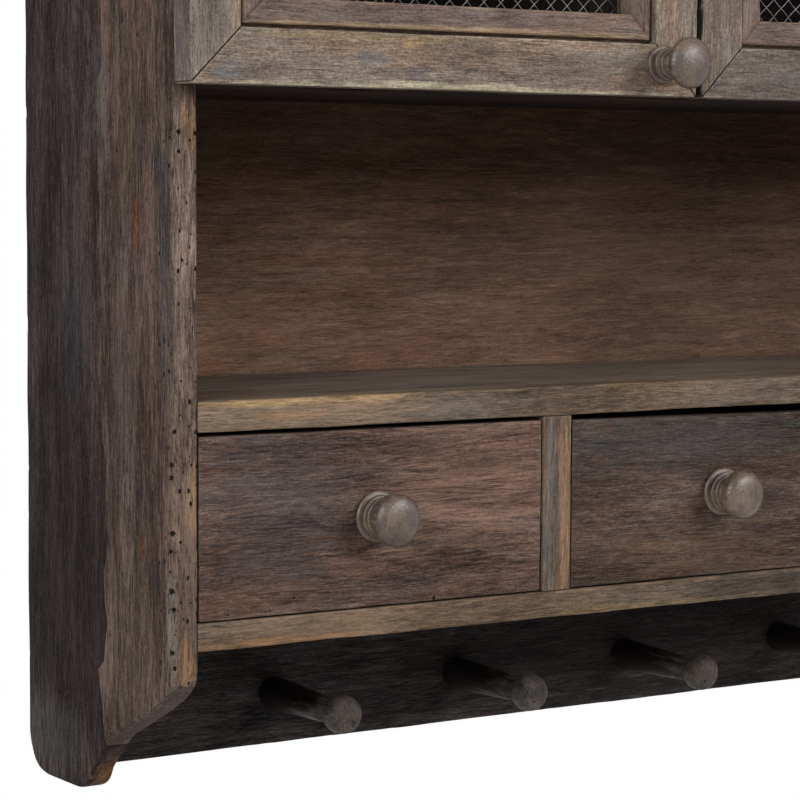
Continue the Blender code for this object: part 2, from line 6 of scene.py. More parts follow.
import json
import math
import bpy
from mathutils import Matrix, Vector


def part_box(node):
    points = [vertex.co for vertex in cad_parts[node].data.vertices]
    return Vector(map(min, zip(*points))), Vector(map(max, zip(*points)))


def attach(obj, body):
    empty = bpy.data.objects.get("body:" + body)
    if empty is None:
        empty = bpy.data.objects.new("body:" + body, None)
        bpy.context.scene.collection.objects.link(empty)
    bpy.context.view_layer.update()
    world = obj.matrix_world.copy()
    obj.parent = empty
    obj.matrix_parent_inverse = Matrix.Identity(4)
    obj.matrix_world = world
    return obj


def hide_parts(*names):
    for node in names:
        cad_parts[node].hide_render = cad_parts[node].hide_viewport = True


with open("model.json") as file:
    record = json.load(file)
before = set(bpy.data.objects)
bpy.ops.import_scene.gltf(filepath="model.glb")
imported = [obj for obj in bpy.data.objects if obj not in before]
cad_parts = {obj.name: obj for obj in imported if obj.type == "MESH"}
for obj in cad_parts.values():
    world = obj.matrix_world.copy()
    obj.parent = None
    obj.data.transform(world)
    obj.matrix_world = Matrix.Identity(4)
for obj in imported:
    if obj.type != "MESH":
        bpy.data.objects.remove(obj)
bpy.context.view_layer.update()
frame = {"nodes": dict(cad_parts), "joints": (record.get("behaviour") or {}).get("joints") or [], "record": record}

import zlib
from collections import namedtuple

import bpy
import numpy as np
from mathutils import Matrix, Vector

# Camera
CAMERA_PLACE = (-1.229, -1.522, -0.3575)
CAMERA_TURN = -32.676
CAMERA_PITCH = -4.421
CAMERA_ROLL = 0.264
CAMERA_LENS = 120.69
SENSOR_W = 36.0

# Light: place, aim, width and height in metres, watts
KEY_LAMP = ((1.25, -2.9, 0.85), (-0.1, -0.1, -0.4), 2.0, 1.2, 62.0)
FILL_LAMP = ((-2.6, -1.6, 0.6), (-0.4, -0.1, -0.4), 1.6, 1.6, 44.0)
REAR_LAMP = ((2.2, 1.8, 0.6), (0.2, 0.0, -0.35), 1.6, 1.6, 45.0)
AMBIENT = 0.13
FLOOR_Z = -1.5
FLOOR_R = 1.2
FLOOR_SIDES = 96
FLOOR_FADE = (0.6 * FLOOR_R, 0.98 * FLOOR_R)  # radii between which the floor fades to white
FLOOR_COLOUR = (0.80, 0.79, 0.78, 1)

# Wear of the boards
ARRIS = 0.0015  # usual rounding of a worn edge
CRISP = 0.2  # share of that rounding left on a sawn end
EDGE_LINES = (0.0, 0.35, 1.0, 2.2)  # grid lines beside an edge, as shares of its rounding
EDGE_BAND = 0.005  # how far from an edge the finish is rubbed
SURFACE_WAVE = 0.0003
ARRIS_WAVE = 0.045  # lengths over which roundings, chips and hollows change
CHIP_WAVE = 0.014
HOLLOW_WAVE = 0.11
CELL = 0.005
RIPPLES = 6

# Seam between the two boards of a side: heights, and how far it lies behind its straight course
SEAM_COURSE = (
    (-0.720, 0.000), (-0.705, -0.001), (-0.690, -0.009), (-0.675, -0.008), (-0.658, -0.002), (-0.641, 0.002),
    (-0.635, -0.008), (-0.615, -0.009), (-0.579, -0.007), (-0.572, -0.011), (-0.521, -0.011),
    (-0.492, -0.005), (-0.462, -0.001), (-0.446, 0.004), (-0.436, -0.003),
    (-0.340, -0.002), (-0.293, 0.000), (-0.286, -0.006), (-0.220, -0.006), (-0.100, 0.002), (0.025, -0.003),
)
RIGHT_COURSE = -0.7  # the right side's seam strays the other way, and less
SEAM_CHIPS = 0.0010
SEAM_STEP = 0.0030  # how far the rear board of a side lies below the front board at their seam
SIDE_NOSE = 0.0032  # rounding of a side's front edge
FACE_SKIN = 0.0002  # points nearer a face of a side than this lie on the face
SHAPED_HEIGHT = 0.25  # height over which the columns of a side follow its lower outline
SIDE_CELL = (0.004, 0.0028, 0.0030)
SEAM_WAVES = (0.030, 0.011)  # lengths over which the seam, its step and the nose change
STEP_WAVE = 0.05
NOSE_WAVE = 0.03
NOTCH_GAP = 0.0006  # between the partition and the hanging rail
MITRE_CLOSED = 0.00050  # how far each end of a door member is moved out to close its mitre
MITRE_TIP = 0.0008  # from the tip of a mitre, where that begins
DRAWER_2_DROP = 0.0026  # how far the top of the second drawer front falls to its right end

# Wire mesh
DIAMOND_W = 0.0122
DIAMOND_H = 0.0110
WIRE_R = 0.00031
WIRE_SIDES = 5
NET_BORDER = 0.004  # how far wires run behind the moulding
WEAVE = 0.9  # how far a wire sways at a crossing, as a share of its radius

# Moulding of a door
MOULDING_W = 0.017
GROOVE_W = 0.0018
GROOVE_DEPTH = 0.005
MOULDING_ARRIS = 0.0014
MOULDING_CELL = 0.004
MOULDING_BAND = 0.004  # how far from its edges it is rubbed
MOULDING_WAVE = 0.02
MOULDING_WEAR = 0.0002
MOULDING_EDGE_WEAR = 0.0008  # added at its edges

# Turned pieces
TURNED_STEPS = 56
TURNED_WAVE = 0.02
WOBBLE = 0.02  # how far a knob or a peg is out of round, as a share of its radius
KNOB_FLANGE_T = 0.0037
KNOB_FLANGE_EASE = 0.0012
KNOB_RING_DEPTH = 0.0017
KNOB_RING_STEP = 0.0008  # how much smaller each ring is than the one before
KNOB_RING_SHARE = 0.42  # half the width of a ring, as a share of the rings' pitch
# Radii of the flange and its first ring, number of rings, thickness and fullness of the head
KNOBS = {"door": (0.0120, 0.0104, 4, 0.0136, 2.1), "drawer": (0.0158, 0.0134, 3, 0.0155, 2.5)}
PEG_ROOT_R = 0.0110
PEG_NECK_R = 0.0080
PEG_HEAD_T = 0.0175
PEG_BEAD_R = 0.0095
PEG_BEAD_T = 0.0024
PEG_TENON_R = 0.0058
PEG_EASE = 0.0004
PEG_FULLNESS = 2.7  # 2 is an ellipse, and more is squarer

# Drawer boxes
DRAWER_WALL_T = 0.010
DRAWER_FLOOR_T = 0.006
JOINT_GAP = 0.0002

# Hinges
BARREL_R = 0.0025
BARREL_STEPS = 28
KNUCKLES = 5
KNUCKLE_GAP = 0.0003
KNUCKLE_EASE = 0.0003
PIN_R = BARREL_R * 0.9
PIN_RISE = 0.0008
LOOSE_LEAF_W = 0.014
LEAF_T = 0.0010
LEAF_ARRIS = 0.0002
LEAF_SKIN = 0.0003  # between a leaf and the wood behind it
LEAF_OFF_AXIS = 0.001
LEAF_SCREWS = 0.6  # place of the screws across a loose leaf, as a share of its width
LET_IN = 0.0002  # how far the loose leaf of an outer door is let into its stile, and stands proud of it
PROUD = 0.0005

# Screws and nails
SCREW_R = 0.0021
SCREW_RISE = 0.0006
SCREW_RIM = 0.00055
SCREW_RECESS = 0.0001
NAIL_R = 0.0022
NAIL_SINK = 0.0006
NAIL_RISE = 0.0005
NAIL_STEPS = 18
NAIL_WOBBLE = 0.04
NAIL_COLUMNS = 8
NAIL_MARGIN = 0.03
RAIL_SCREWS = (0.12, 0.5, 0.88)  # places along the hanging rail
RAIL_SCREW_R = 0.0046
RAIL_SCREW_SINK = 0.0010
RAIL_SCREW_LIFT = 0.0001
RAIL_SCREW_RISE = 0.0012
RAIL_SCREW_RECESS = ((0.0011, 0.0016), (0.0003, 0.0013), (0.0003, 0.0002))
RAIL_SCREW_STEPS = 24

# Length and width of the marks in the grain, and their shares
GRAIN_MARKS = (
    (0.0020, 0.0010, 0.16), (0.010, 0.0007, 0.29), (0.032, 0.0020, 0.16),
    (0.100, 0.0090, 0.16), (0.160, 0.0500, 0.23),
)
GRAIN_SPAN = (0.36, 0.64)  # the part of each mark's noise that is used
GRAIN_DRIFT = 0.006
DRIFT_SIZE = (0.11, 0.030)
GRAIN_RANGE = 0.21
# Length, width and detail of the other marks in wood and metal, and the part of their noise that is used
MARKS = {
    "speckle": (0.0016, 0.0012, 2.0, 0.36, 0.64),
    "cast": (0.10, 0.022, 2.0, 0.38, 0.62),
    "sawn": (0.004, 0.004, 3.0, 0.3, 0.7),
    "rust": (0.060, 0.010, 3.0, 0.54, 0.70),
    "grey": (0.090, 0.016, 3.0, 0.52, 0.68),
    "handled": (0.014, 0.014, 2.0, 0.46, 0.58),
    "stain_rim": (0.030, 0.0035, 3.0, 0.3, 0.7),
    "torn": (0.014, 0.0028, 3.0, 0.3, 0.7),
    "fleck": (0.008, 0.0007, 1.0, 0.63, 0.74),
    "pore": (0.008, 0.00085, 1.0, 0.60, 0.72),
    "cracked": (0.090, 0.020, 1.0, 0.50, 0.60),
    "pitted": (0.0075, 0.0075, 1.0, 0.52, 0.60),
    "pit": (0.0011, 0.0011, 1.0, 0.56, 0.66),
    "worm_rim": (0.0009, 0.0009, 1.0, 0.3, 0.7),
    "tarnish": (0.004, 0.004, 4.0, 0.45, 0.68),
}
MARK_GAIN = (0.45, 1.55)  # how dark and how pale the grain makes the colour of a mark
SAWN_GAIN = (0.5, 1.2)
COOL_CAST = (0.95, 0.99, 1.04)
WARM_CAST = (1.07, 1.00, 0.92)
END_SHARE = 0.8
HANDLED_SHARE = 0.55
STAIN_AND_SHADE_FADE = (0.45, 1.0)  # shares of its reach between which a spot fades, stains and painted shade alike
STAIN_AND_SHADE_RAGGED = 0.45
TORN = (-0.65, 0.30)  # what is added to the nearness of an edge before it counts as worn
WORN_SPAN = (0.45, 0.95)
# how much paler than a wood's palest tone its pale flecks are: painted glints
GLINT_FLECK_GAIN = 1.2
PORE_SHARE = 0.6
CRACK_SIZE = (0.130, 0.0060)
CRACK_SPAN = (0.004, 0.018)
CRACK_GAIN = 0.3
PIT_SHARE = 0.8
PIT_GAIN = 0.4
WORM_CELLS = 185.0
WORM_STRETCH = 0.65
WORM_SIZES = (0.07, 0.20)
WORM_RAGGED = 0.06
WORM_COLOUR = (0.004, 0.003, 0.003)
# Depths of marks against that of the grain, and the depth and strength of all of them
PORE_DEPTH = 0.5
CRACK_DEPTH = 1.6
WORM_DEPTH = 3.0
BUMP_DEPTH = 0.0004
BARE_BUMP = 0.8
WAXED_BUMP = 0.2

METALLIC = 0.85
TARNISH_ROUGH = 0.25  # how much rougher tarnish is than the metal
METAL_PITS = (0.0012, 0.0012)
METAL_BUMP = (0.0001, 0.4)

# Slant of the grain on a board, in degrees
SLANTS = {"drawer_2_front": -1, "drawer_3_front": -3, "drawer_4_front": 2, "back_panel": 1}

# Tones of each wood from dark to pale, then rust, grey and rubbed edge, and the shares of these three
WOODS = {
    "pale_board": dict(
        tones=((0.027, 0.0175, 0.0155), (0.078, 0.050, 0.041), (0.130, 0.084, 0.069), (0.220, 0.151, 0.124)),
        rust=(0.150, 0.075, 0.040), grey=(0.108, 0.089, 0.078), rubbed=(0.215, 0.170, 0.135),
        shares=(0.20, 0.40, 0.45), cracks=0.9, flecks=0.50, contrast=1.12,
    ),
    "dark_board": dict(
        tones=(
            (0.008, 0.0051, 0.0045), (0.0245, 0.0153, 0.0136), (0.045, 0.0287, 0.0257), (0.102, 0.073, 0.067),
        ),
        rust=(0.055, 0.030, 0.021), grey=(0.046, 0.035, 0.034), rubbed=(0.012, 0.009, 0.008),
        shares=(0.15, 0.25, 0.70), cracks=0.8, flecks=0.55, contrast=1.05,
    ),
    "peg_rail": dict(
        tones=((0.011, 0.010, 0.0098), (0.037, 0.031, 0.0295), (0.072, 0.061, 0.0575), (0.139, 0.124, 0.119)),
        rust=(0.055, 0.032, 0.026), grey=(0.046, 0.046, 0.050), rubbed=(0.110, 0.090, 0.080),
        shares=(0.20, 0.35, 0.30), cracks=0.7, flecks=0.25, contrast=0.75,
    ),
    "brown_board": dict(
        tones=((0.044, 0.031, 0.022), (0.108, 0.0765, 0.0545), (0.190, 0.139, 0.102), (0.323, 0.245, 0.181)),
        rust=(0.255, 0.145, 0.075), grey=(0.130, 0.118, 0.102), rubbed=(0.300, 0.210, 0.135),
        shares=(0.35, 0.50, 0.50), cracks=0.45, flecks=0.30, contrast=0.6,
    ),
    # near-black wood of the closed bay: dark stain and painted shade
    "bay_board": dict(
        tones=((0.008, 0.0055, 0.0045), (0.02, 0.0135, 0.0105), (0.036, 0.025, 0.019), (0.065, 0.047, 0.036)),
        rust=(0.040, 0.021, 0.014), grey=(0.030, 0.026, 0.023), rubbed=(0.066, 0.048, 0.036),
        shares=(0.30, 0.30, 0.3), cracks=0.5, flecks=0.15, contrast=0.7,
    ),
    "niche_back": dict(
        tones=((0.080, 0.043, 0.0275), (0.162, 0.093, 0.062), (0.236, 0.138, 0.093), (0.335, 0.210, 0.148)),
        rust=(0.225, 0.115, 0.067), grey=(0.155, 0.118, 0.092), rubbed=(0.230, 0.150, 0.105),
        shares=(0.35, 0.35, 0.2), cracks=0.30, flecks=0.10, contrast=0.65, grit=0.06,
    ),
    "door_frame": dict(
        tones=((0.080, 0.060, 0.050), (0.185, 0.137, 0.107), (0.290, 0.214, 0.166), (0.474, 0.380, 0.295)),
        rust=(0.340, 0.225, 0.130), grey=(0.185, 0.174, 0.160), rubbed=(0.440, 0.380, 0.280),
        shares=(0.30, 0.60, 0.5), cracks=0.45, flecks=0.35, contrast=0.60, grit=0.24,
    ),
    "door_frame_dark": dict(
        tones=((0.058, 0.047, 0.041), (0.143, 0.112, 0.094), (0.226, 0.176, 0.145), (0.389, 0.322, 0.262)),
        rust=(0.280, 0.185, 0.110), grey=(0.155, 0.146, 0.136), rubbed=(0.340, 0.295, 0.220),
        shares=(0.30, 0.60, 0.5), cracks=0.45, flecks=0.35, contrast=0.60, grit=0.24,
    ),
    "door_moulding": dict(
        tones=((0.060, 0.043, 0.038), (0.148, 0.104, 0.089), (0.245, 0.177, 0.149), (0.395, 0.303, 0.253)),
        rust=(0.320, 0.200, 0.115), grey=(0.160, 0.150, 0.144), rubbed=(0.400, 0.290, 0.185),
        shares=(0.30, 0.50, 0.5), cracks=0.4, flecks=0.25, contrast=0.55, grit=0.14,
    ),
    "drawer_1": dict(
        tones=((0.025, 0.016, 0.0138), (0.075, 0.046, 0.037), (0.150, 0.093, 0.072), (0.275, 0.193, 0.156)),
        rust=(0.200, 0.100, 0.058), grey=(0.094, 0.082, 0.076), rubbed=(0.230, 0.175, 0.140),
        shares=(0.40, 0.40, 0.35), cracks=0.6, flecks=0.45, contrast=0.66, grit=0.08,
    ),
    "drawer_2": dict(
        tones=((0.0185, 0.012, 0.0102), (0.054, 0.034, 0.0275), (0.105, 0.066, 0.052), (0.200, 0.146, 0.118)),
        rust=(0.135, 0.070, 0.040), grey=(0.072, 0.066, 0.061), rubbed=(0.190, 0.158, 0.131),
        shares=(0.40, 0.45, 0.35), cracks=0.6, flecks=0.45, contrast=0.64, grit=0.08,
    ),
    "drawer_box": dict(
        tones=((0.130, 0.084, 0.050), (0.220, 0.155, 0.098), (0.300, 0.220, 0.145), (0.390, 0.300, 0.210)),
        rust=(0.270, 0.160, 0.080), grey=(0.220, 0.185, 0.145), rubbed=(0.340, 0.260, 0.175),
        shares=(0.30, 0.25, 0.3), cracks=0.25, flecks=0.10, contrast=0.6, grit=0.06,
    ),
    "knob": dict(
        tones=((0.033, 0.0225, 0.0175), (0.086, 0.059, 0.0475), (0.139, 0.098, 0.079), (0.240, 0.181, 0.147)),
        rust=(0.180, 0.104, 0.060), grey=(0.122, 0.107, 0.097), rubbed=(0.220, 0.155, 0.102),
        shares=(0.30, 0.45, 0.6), cracks=0.4, flecks=0.10, contrast=0.6,
    ),
    "peg": dict(
        tones=((0.0255, 0.02, 0.0175), (0.061, 0.0505, 0.0445), (0.1, 0.085, 0.076), (0.172, 0.155, 0.144)),
        rust=(0.105, 0.069, 0.047), grey=(0.110, 0.102, 0.098), rubbed=(0.135, 0.113, 0.096),
        shares=(0.25, 0.45, 0.5), cracks=0.4, flecks=0.10, contrast=0.6,
    ),
}
# Roughness at its smoothest and roughest, and specular level, of bare wood and of waxed kinds
BARE = (0.66, 0.90, 0.14)
WAXED = {"knob": (0.20, 0.36, 0.5), "peg": (0.50, 0.68, 0.10)}

# Stains and painted shade on single boards, and painted shade on all the pegs: centre, reach, colour and share
TOE_STAIN = ((-0.5145, -0.080, -0.703), (0.0115, 0.022, 0.020), (0.260, 0.130, 0.055), 0.80)
SPOTS = {
    "left_side_front_board": (
        ((-0.5200, -0.1980, -0.3500), (0.030, 0.0105, 0.600), (0.190, 0.130, 0.100), 0.80),
        ((-0.5200, -0.1980, -0.3450), (0.030, 0.0105, 0.090), (0.350, 0.250, 0.202), 0.80),
        ((-0.5200, -0.1980, -0.6250), (0.030, 0.0105, 0.110), (0.097, 0.065, 0.047), 0.75),
        ((-0.5175, -0.1930, -0.3180), (0.006, 0.0040, 0.020), (0.360, 0.215, 0.120), 0.70),
        ((-0.5150, -0.1930, -0.5300), (0.005, 0.0040, 0.025), (0.300, 0.185, 0.090), 0.60),
        ((-0.5200, -0.1930, -0.6300), (0.006, 0.0040, 0.025), (0.300, 0.170, 0.085), 0.60),
        ((-0.5280, -0.1455, -0.3300), (0.006, 0.0135, 0.050), (0.110, 0.085, 0.050), 0.65),
        ((-0.5280, -0.1475, -0.3760), (0.006, 0.0055, 0.020), (0.210, 0.080, 0.034), 0.90),
        ((-0.5280, -0.1020, -0.3100), (0.006, 0.0090, 0.045), (0.130, 0.116, 0.102), 0.60),
        ((-0.5280, -0.1850, -0.3850), (0.006, 0.0090, 0.090), (0.110, 0.098, 0.090), 0.60),
        ((-0.5280, -0.1300, -0.4600), (0.006, 0.0500, 0.060), (0.055, 0.035, 0.028), 0.45),
        ((-0.5280, -0.1400, -0.6050), (0.006, 0.0450, 0.090), (0.210, 0.150, 0.113), 0.70),
        ((-0.5280, -0.1542, -0.5600), (0.006, 0.0040, 0.008), (0.220, 0.070, 0.033), 0.80),
        ((-0.5275, -0.1890, -0.6000), (0.005, 0.0045, 0.045), (0.320, 0.290, 0.260), 0.50),
        TOE_STAIN,
    ),
    "left_side_rear_board": (
        ((-0.528, -0.050, -0.600), (0.006, 0.120, 0.120), (0.0132, 0.0068, 0.0058), 0.82),
        ((-0.528, -0.035, -0.692), (0.006, 0.060, 0.030), (0.100, 0.086, 0.082), 0.75),
        ((-0.528, -0.060, -0.440), (0.006, 0.030, 0.060), (0.036, 0.033, 0.038), 0.40),
        TOE_STAIN,
    ),
    "back_panel": (
        # painted shade over the middle of the niche's back, then a paler patch low on its left
        ((-0.020, -0.0055, -0.400), (0.320, 0.020, 0.170), (0.098, 0.058, 0.040), 0.75),
        ((-0.220, -0.0055, -0.455), (0.160, 0.020, 0.035), (0.230, 0.130, 0.090), 0.40),
    ),
    # painted shade over the middle of the peg rail's front, under the bottom board
    "peg_rail": (((-0.020, -0.014, -0.670), (0.360, 0.006, 0.090), (0.019, 0.0136, 0.0134), 0.85),),
    "door_2_bottom_rail": (((-0.090, -0.2155, -0.284), (0.120, 0.006, 0.025), (0.133, 0.115, 0.104), 0.65),),
    "door_1_bottom_rail": (
        ((-0.4200, -0.215, -0.2690), (0.100, 0.004, 0.0030), (0.400, 0.290, 0.170), 0.60),
        ((-0.5033, -0.215, -0.2915), (0.014, 0.004, 0.0080), (0.200, 0.195, 0.192), 0.85),
        ((-0.3836, -0.215, -0.2715), (0.008, 0.004, 0.0040), (0.480, 0.320, 0.170), 0.80),
        ((-0.4100, -0.215, -0.2800), (0.014, 0.004, 0.0050), (0.180, 0.182, 0.184), 0.65),
        ((-0.3790, -0.215, -0.2880), (0.010, 0.004, 0.0060), (0.140, 0.118, 0.122), 0.60),
        ((-0.2600, -0.215, -0.2830), (0.060, 0.004, 0.0100), (0.190, 0.160, 0.140), 0.55),
        ((-0.3700, -0.215, -0.2975), (0.190, 0.006, 0.0045), (0.520, 0.460, 0.320), 0.75),
    ),
    "door_1_left_stile": (
        ((-0.5160, -0.2155, -0.2600), (0.016, 0.004, 0.0900), (0.238, 0.215, 0.190), 0.70),
        ((-0.5000, -0.2155, -0.2400), (0.005, 0.004, 0.0600), (0.390, 0.290, 0.200), 0.60),
        # painted shade on the outer left face of the stile
        ((-0.5290, -0.2050, -0.1400), (0.0032, 0.040, 0.5000), (0.162, 0.129, 0.129), 0.90),
    ),
    # painted shade on the left face of the stile, in the gap between doors 1 and 2
    "door_2_left_stile": (((-0.1695, -0.202, -0.140), (0.0022, 0.022, 0.500), (0.010, 0.008, 0.007), 0.95),),
    "door_1_moulding": (
        ((-0.4950, -0.206, -0.2000), (0.0024, 0.008, 0.1000), (0.420, 0.095, 0.095), 0.85),
        ((-0.3500, -0.2125, -0.2632), (0.220, 0.004, 0.0036), (0.500, 0.350, 0.210), 0.65),
    ),
    "niche_shelf": (
        ((-0.4500, -0.1935, -0.4860), (0.120, 0.0040, 0.0150), (0.290, 0.206, 0.136), 0.70),
        ((-0.4500, -0.1930, -0.4765), (0.090, 0.0060, 0.0045), (0.450, 0.290, 0.140), 0.80),
        ((-0.4520, -0.1930, -0.4860), (0.026, 0.0040, 0.0024), (0.380, 0.195, 0.100), 0.45),
        ((-0.2140, -0.1930, -0.4757), (0.026, 0.0040, 0.0026), (0.420, 0.275, 0.145), 0.60),
        ((-0.2700, -0.0800, -0.4750), (0.400, 0.1000, 0.0040), (0.215, 0.168, 0.144), 0.75),
    ),
    "bottom_board": (
        ((-0.4400, -0.1935, -0.6110), (0.120, 0.0040, 0.0140), (0.230, 0.153, 0.099), 0.70),
        ((-0.4600, -0.1930, -0.6165), (0.065, 0.0050, 0.0036), (0.350, 0.185, 0.080), 0.60),
        ((-0.2000, -0.1930, -0.6170), (0.080, 0.0050, 0.0034), (0.310, 0.200, 0.095), 0.50),
        ((-0.0600, -0.1935, -0.6100), (0.160, 0.0040, 0.0160), (0.074, 0.059, 0.048), 0.85),
    ),
    "drawer_divider_1": (
        ((-0.2556, -0.1930, -0.5500), (0.0055, 0.004, 0.070), (0.350, 0.202, 0.112), 0.75),
        ((-0.2670, -0.1930, -0.5500), (0.0055, 0.004, 0.070), (0.200, 0.180, 0.158), 0.65),
    ),
    "drawer_1_front": (
        ((-0.4600, -0.1922, -0.5450), (0.060, 0.004, 0.055), (0.068, 0.058, 0.060), 0.60),
        ((-0.3300, -0.1922, -0.5300), (0.070, 0.004, 0.060), (0.240, 0.145, 0.104), 0.65),
        ((-0.4800, -0.1922, -0.5940), (0.060, 0.004, 0.016), (0.150, 0.084, 0.055), 0.65),
    ),
    "drawer_2_front": (
        ((-0.1500, -0.1922, -0.5110), (0.170, 0.004, 0.025), (0.060, 0.056, 0.052), 0.75),
        ((-0.1500, -0.1922, -0.5850), (0.110, 0.004, 0.022), (0.120, 0.070, 0.043), 0.55),
    ),
    # painted shade along the pegs' shanks near the rail, leaving the heads paler
    "peg": (((0.0, -0.036, -0.6845), (3.000, 0.062, 0.060), (0.007, 0.0052, 0.0043), 0.97),),
}

# Worm holes on single boards: the axis they are bored along, centre, reach and share of places with a hole
HOLES = {
    "left_side_front_board": (
        ("Y", (-0.520, -0.193, -0.365), (0.020, 0.006, 0.070), 0.55),
        ("Y", (-0.520, -0.193, -0.560), (0.020, 0.006, 0.125), 0.60),
        ("X", (-0.528, -0.184, -0.390), (0.006, 0.011, 0.120), 0.25),
        ("X", (-0.528, -0.184, -0.575), (0.006, 0.011, 0.100), 0.45),
        ("X", (-0.528, -0.140, -0.430), (0.006, 0.045, 0.280), 0.03),
    ),
    "drawer_1_front": (("Y", (-0.400, -0.1922, -0.598), (0.140, 0.004, 0.008), 0.10),),
}

Shell = namedtuple("Shell", "points faces grain edge end")


class Tree:
    """Builds a material's nodes, one short call for each."""

    def __init__(self, name):
        self.material = bpy.data.materials.new(name)
        self.material.use_nodes = True
        self.nodes = self.material.node_tree.nodes
        self.links = self.material.node_tree.links
        self.shader = self.nodes["Principled BSDF"]

    def put(self, socket, value):
        if isinstance(value, bpy.types.NodeSocket):
            self.links.new(value, socket)
        elif socket.type == "RGBA":
            socket.default_value = (*value[:3], 1)
        else:
            socket.default_value = value

    def node(self, kind, inputs, **settings):
        made = self.nodes.new(kind)
        for name, value in settings.items():
            setattr(made, name, value)
        for socket, value in inputs.items():
            self.put(made.inputs[socket], value)
        return made

    def attribute(self, name, output):
        return self.node("ShaderNodeAttribute", {}, attribute_name=name).outputs[output]

    def place(self):
        return self.node("ShaderNodeTexCoord", {}).outputs["Object"]

    def math(self, operation, *values):
        return self.node("ShaderNodeMath", dict(enumerate(values)), operation=operation).outputs[0]

    def vector(self, operation, *values):
        return self.node("ShaderNodeVectorMath", dict(enumerate(values)), operation=operation)

    def noise(self, place, along, across, detail=2.0, output="Fac"):
        """Noise whose features have these lengths along the grain and across it."""
        stretch = self.vector("MULTIPLY", place, (1 / along, 1 / across, 1 / across)).outputs[0]
        inputs = {"Vector": stretch, "Scale": 1.0, "Detail": detail, "Roughness": 0.6}
        return self.node("ShaderNodeTexNoise", inputs).outputs[output]

    def fit(self, value, low, high, to_low=0.0, to_high=1.0):
        inputs = {"Value": value, "From Min": low, "From Max": high, "To Min": to_low, "To Max": to_high}
        return self.node("ShaderNodeMapRange", inputs, clamp=True).outputs[0]

    def marks(self, kind, place, to_low=0.0, to_high=1.0):
        along, across, detail, low, high = MARKS[kind]
        return self.fit(self.noise(place, along, across, detail), low, high, to_low, to_high)

    def scaled(self, colour, gain):
        return self.node("ShaderNodeVectorMath", {0: colour, "Scale": gain}, operation="SCALE").outputs[0]

    def mix(self, share, first, second, blend="MIX"):
        inputs = {0: share, 6: first, 7: second}
        return self.node("ShaderNodeMix", inputs, data_type="RGBA", blend_type=blend).outputs[2]

    def ramp(self, value, colours):
        made = self.node("ShaderNodeValToRGB", {"Fac": value})
        stops = made.color_ramp.elements
        while len(stops) < len(colours):
            stops.new(0.5)
        for i, colour in enumerate(colours):
            stops[i].position = i / (len(colours) - 1)
            stops[i].color = (*colour, 1)
        return made.outputs[0]

    def away(self, centre, reach):
        """Distance from a place in the frame, as a share of the reach along each axis."""
        offset = self.vector("SUBTRACT", self.place(), centre).outputs[0]
        return self.vector("LENGTH", self.vector("DIVIDE", offset, reach).outputs[0]).outputs["Value"]

    def bump(self, height, distance, strength):
        inputs = {"Height": height, "Distance": distance, "Strength": strength}
        self.put(self.shader.inputs["Normal"], self.node("ShaderNodeBump", inputs).outputs[0])


def times(colour, factor):
    return [factor * part for part in colour]


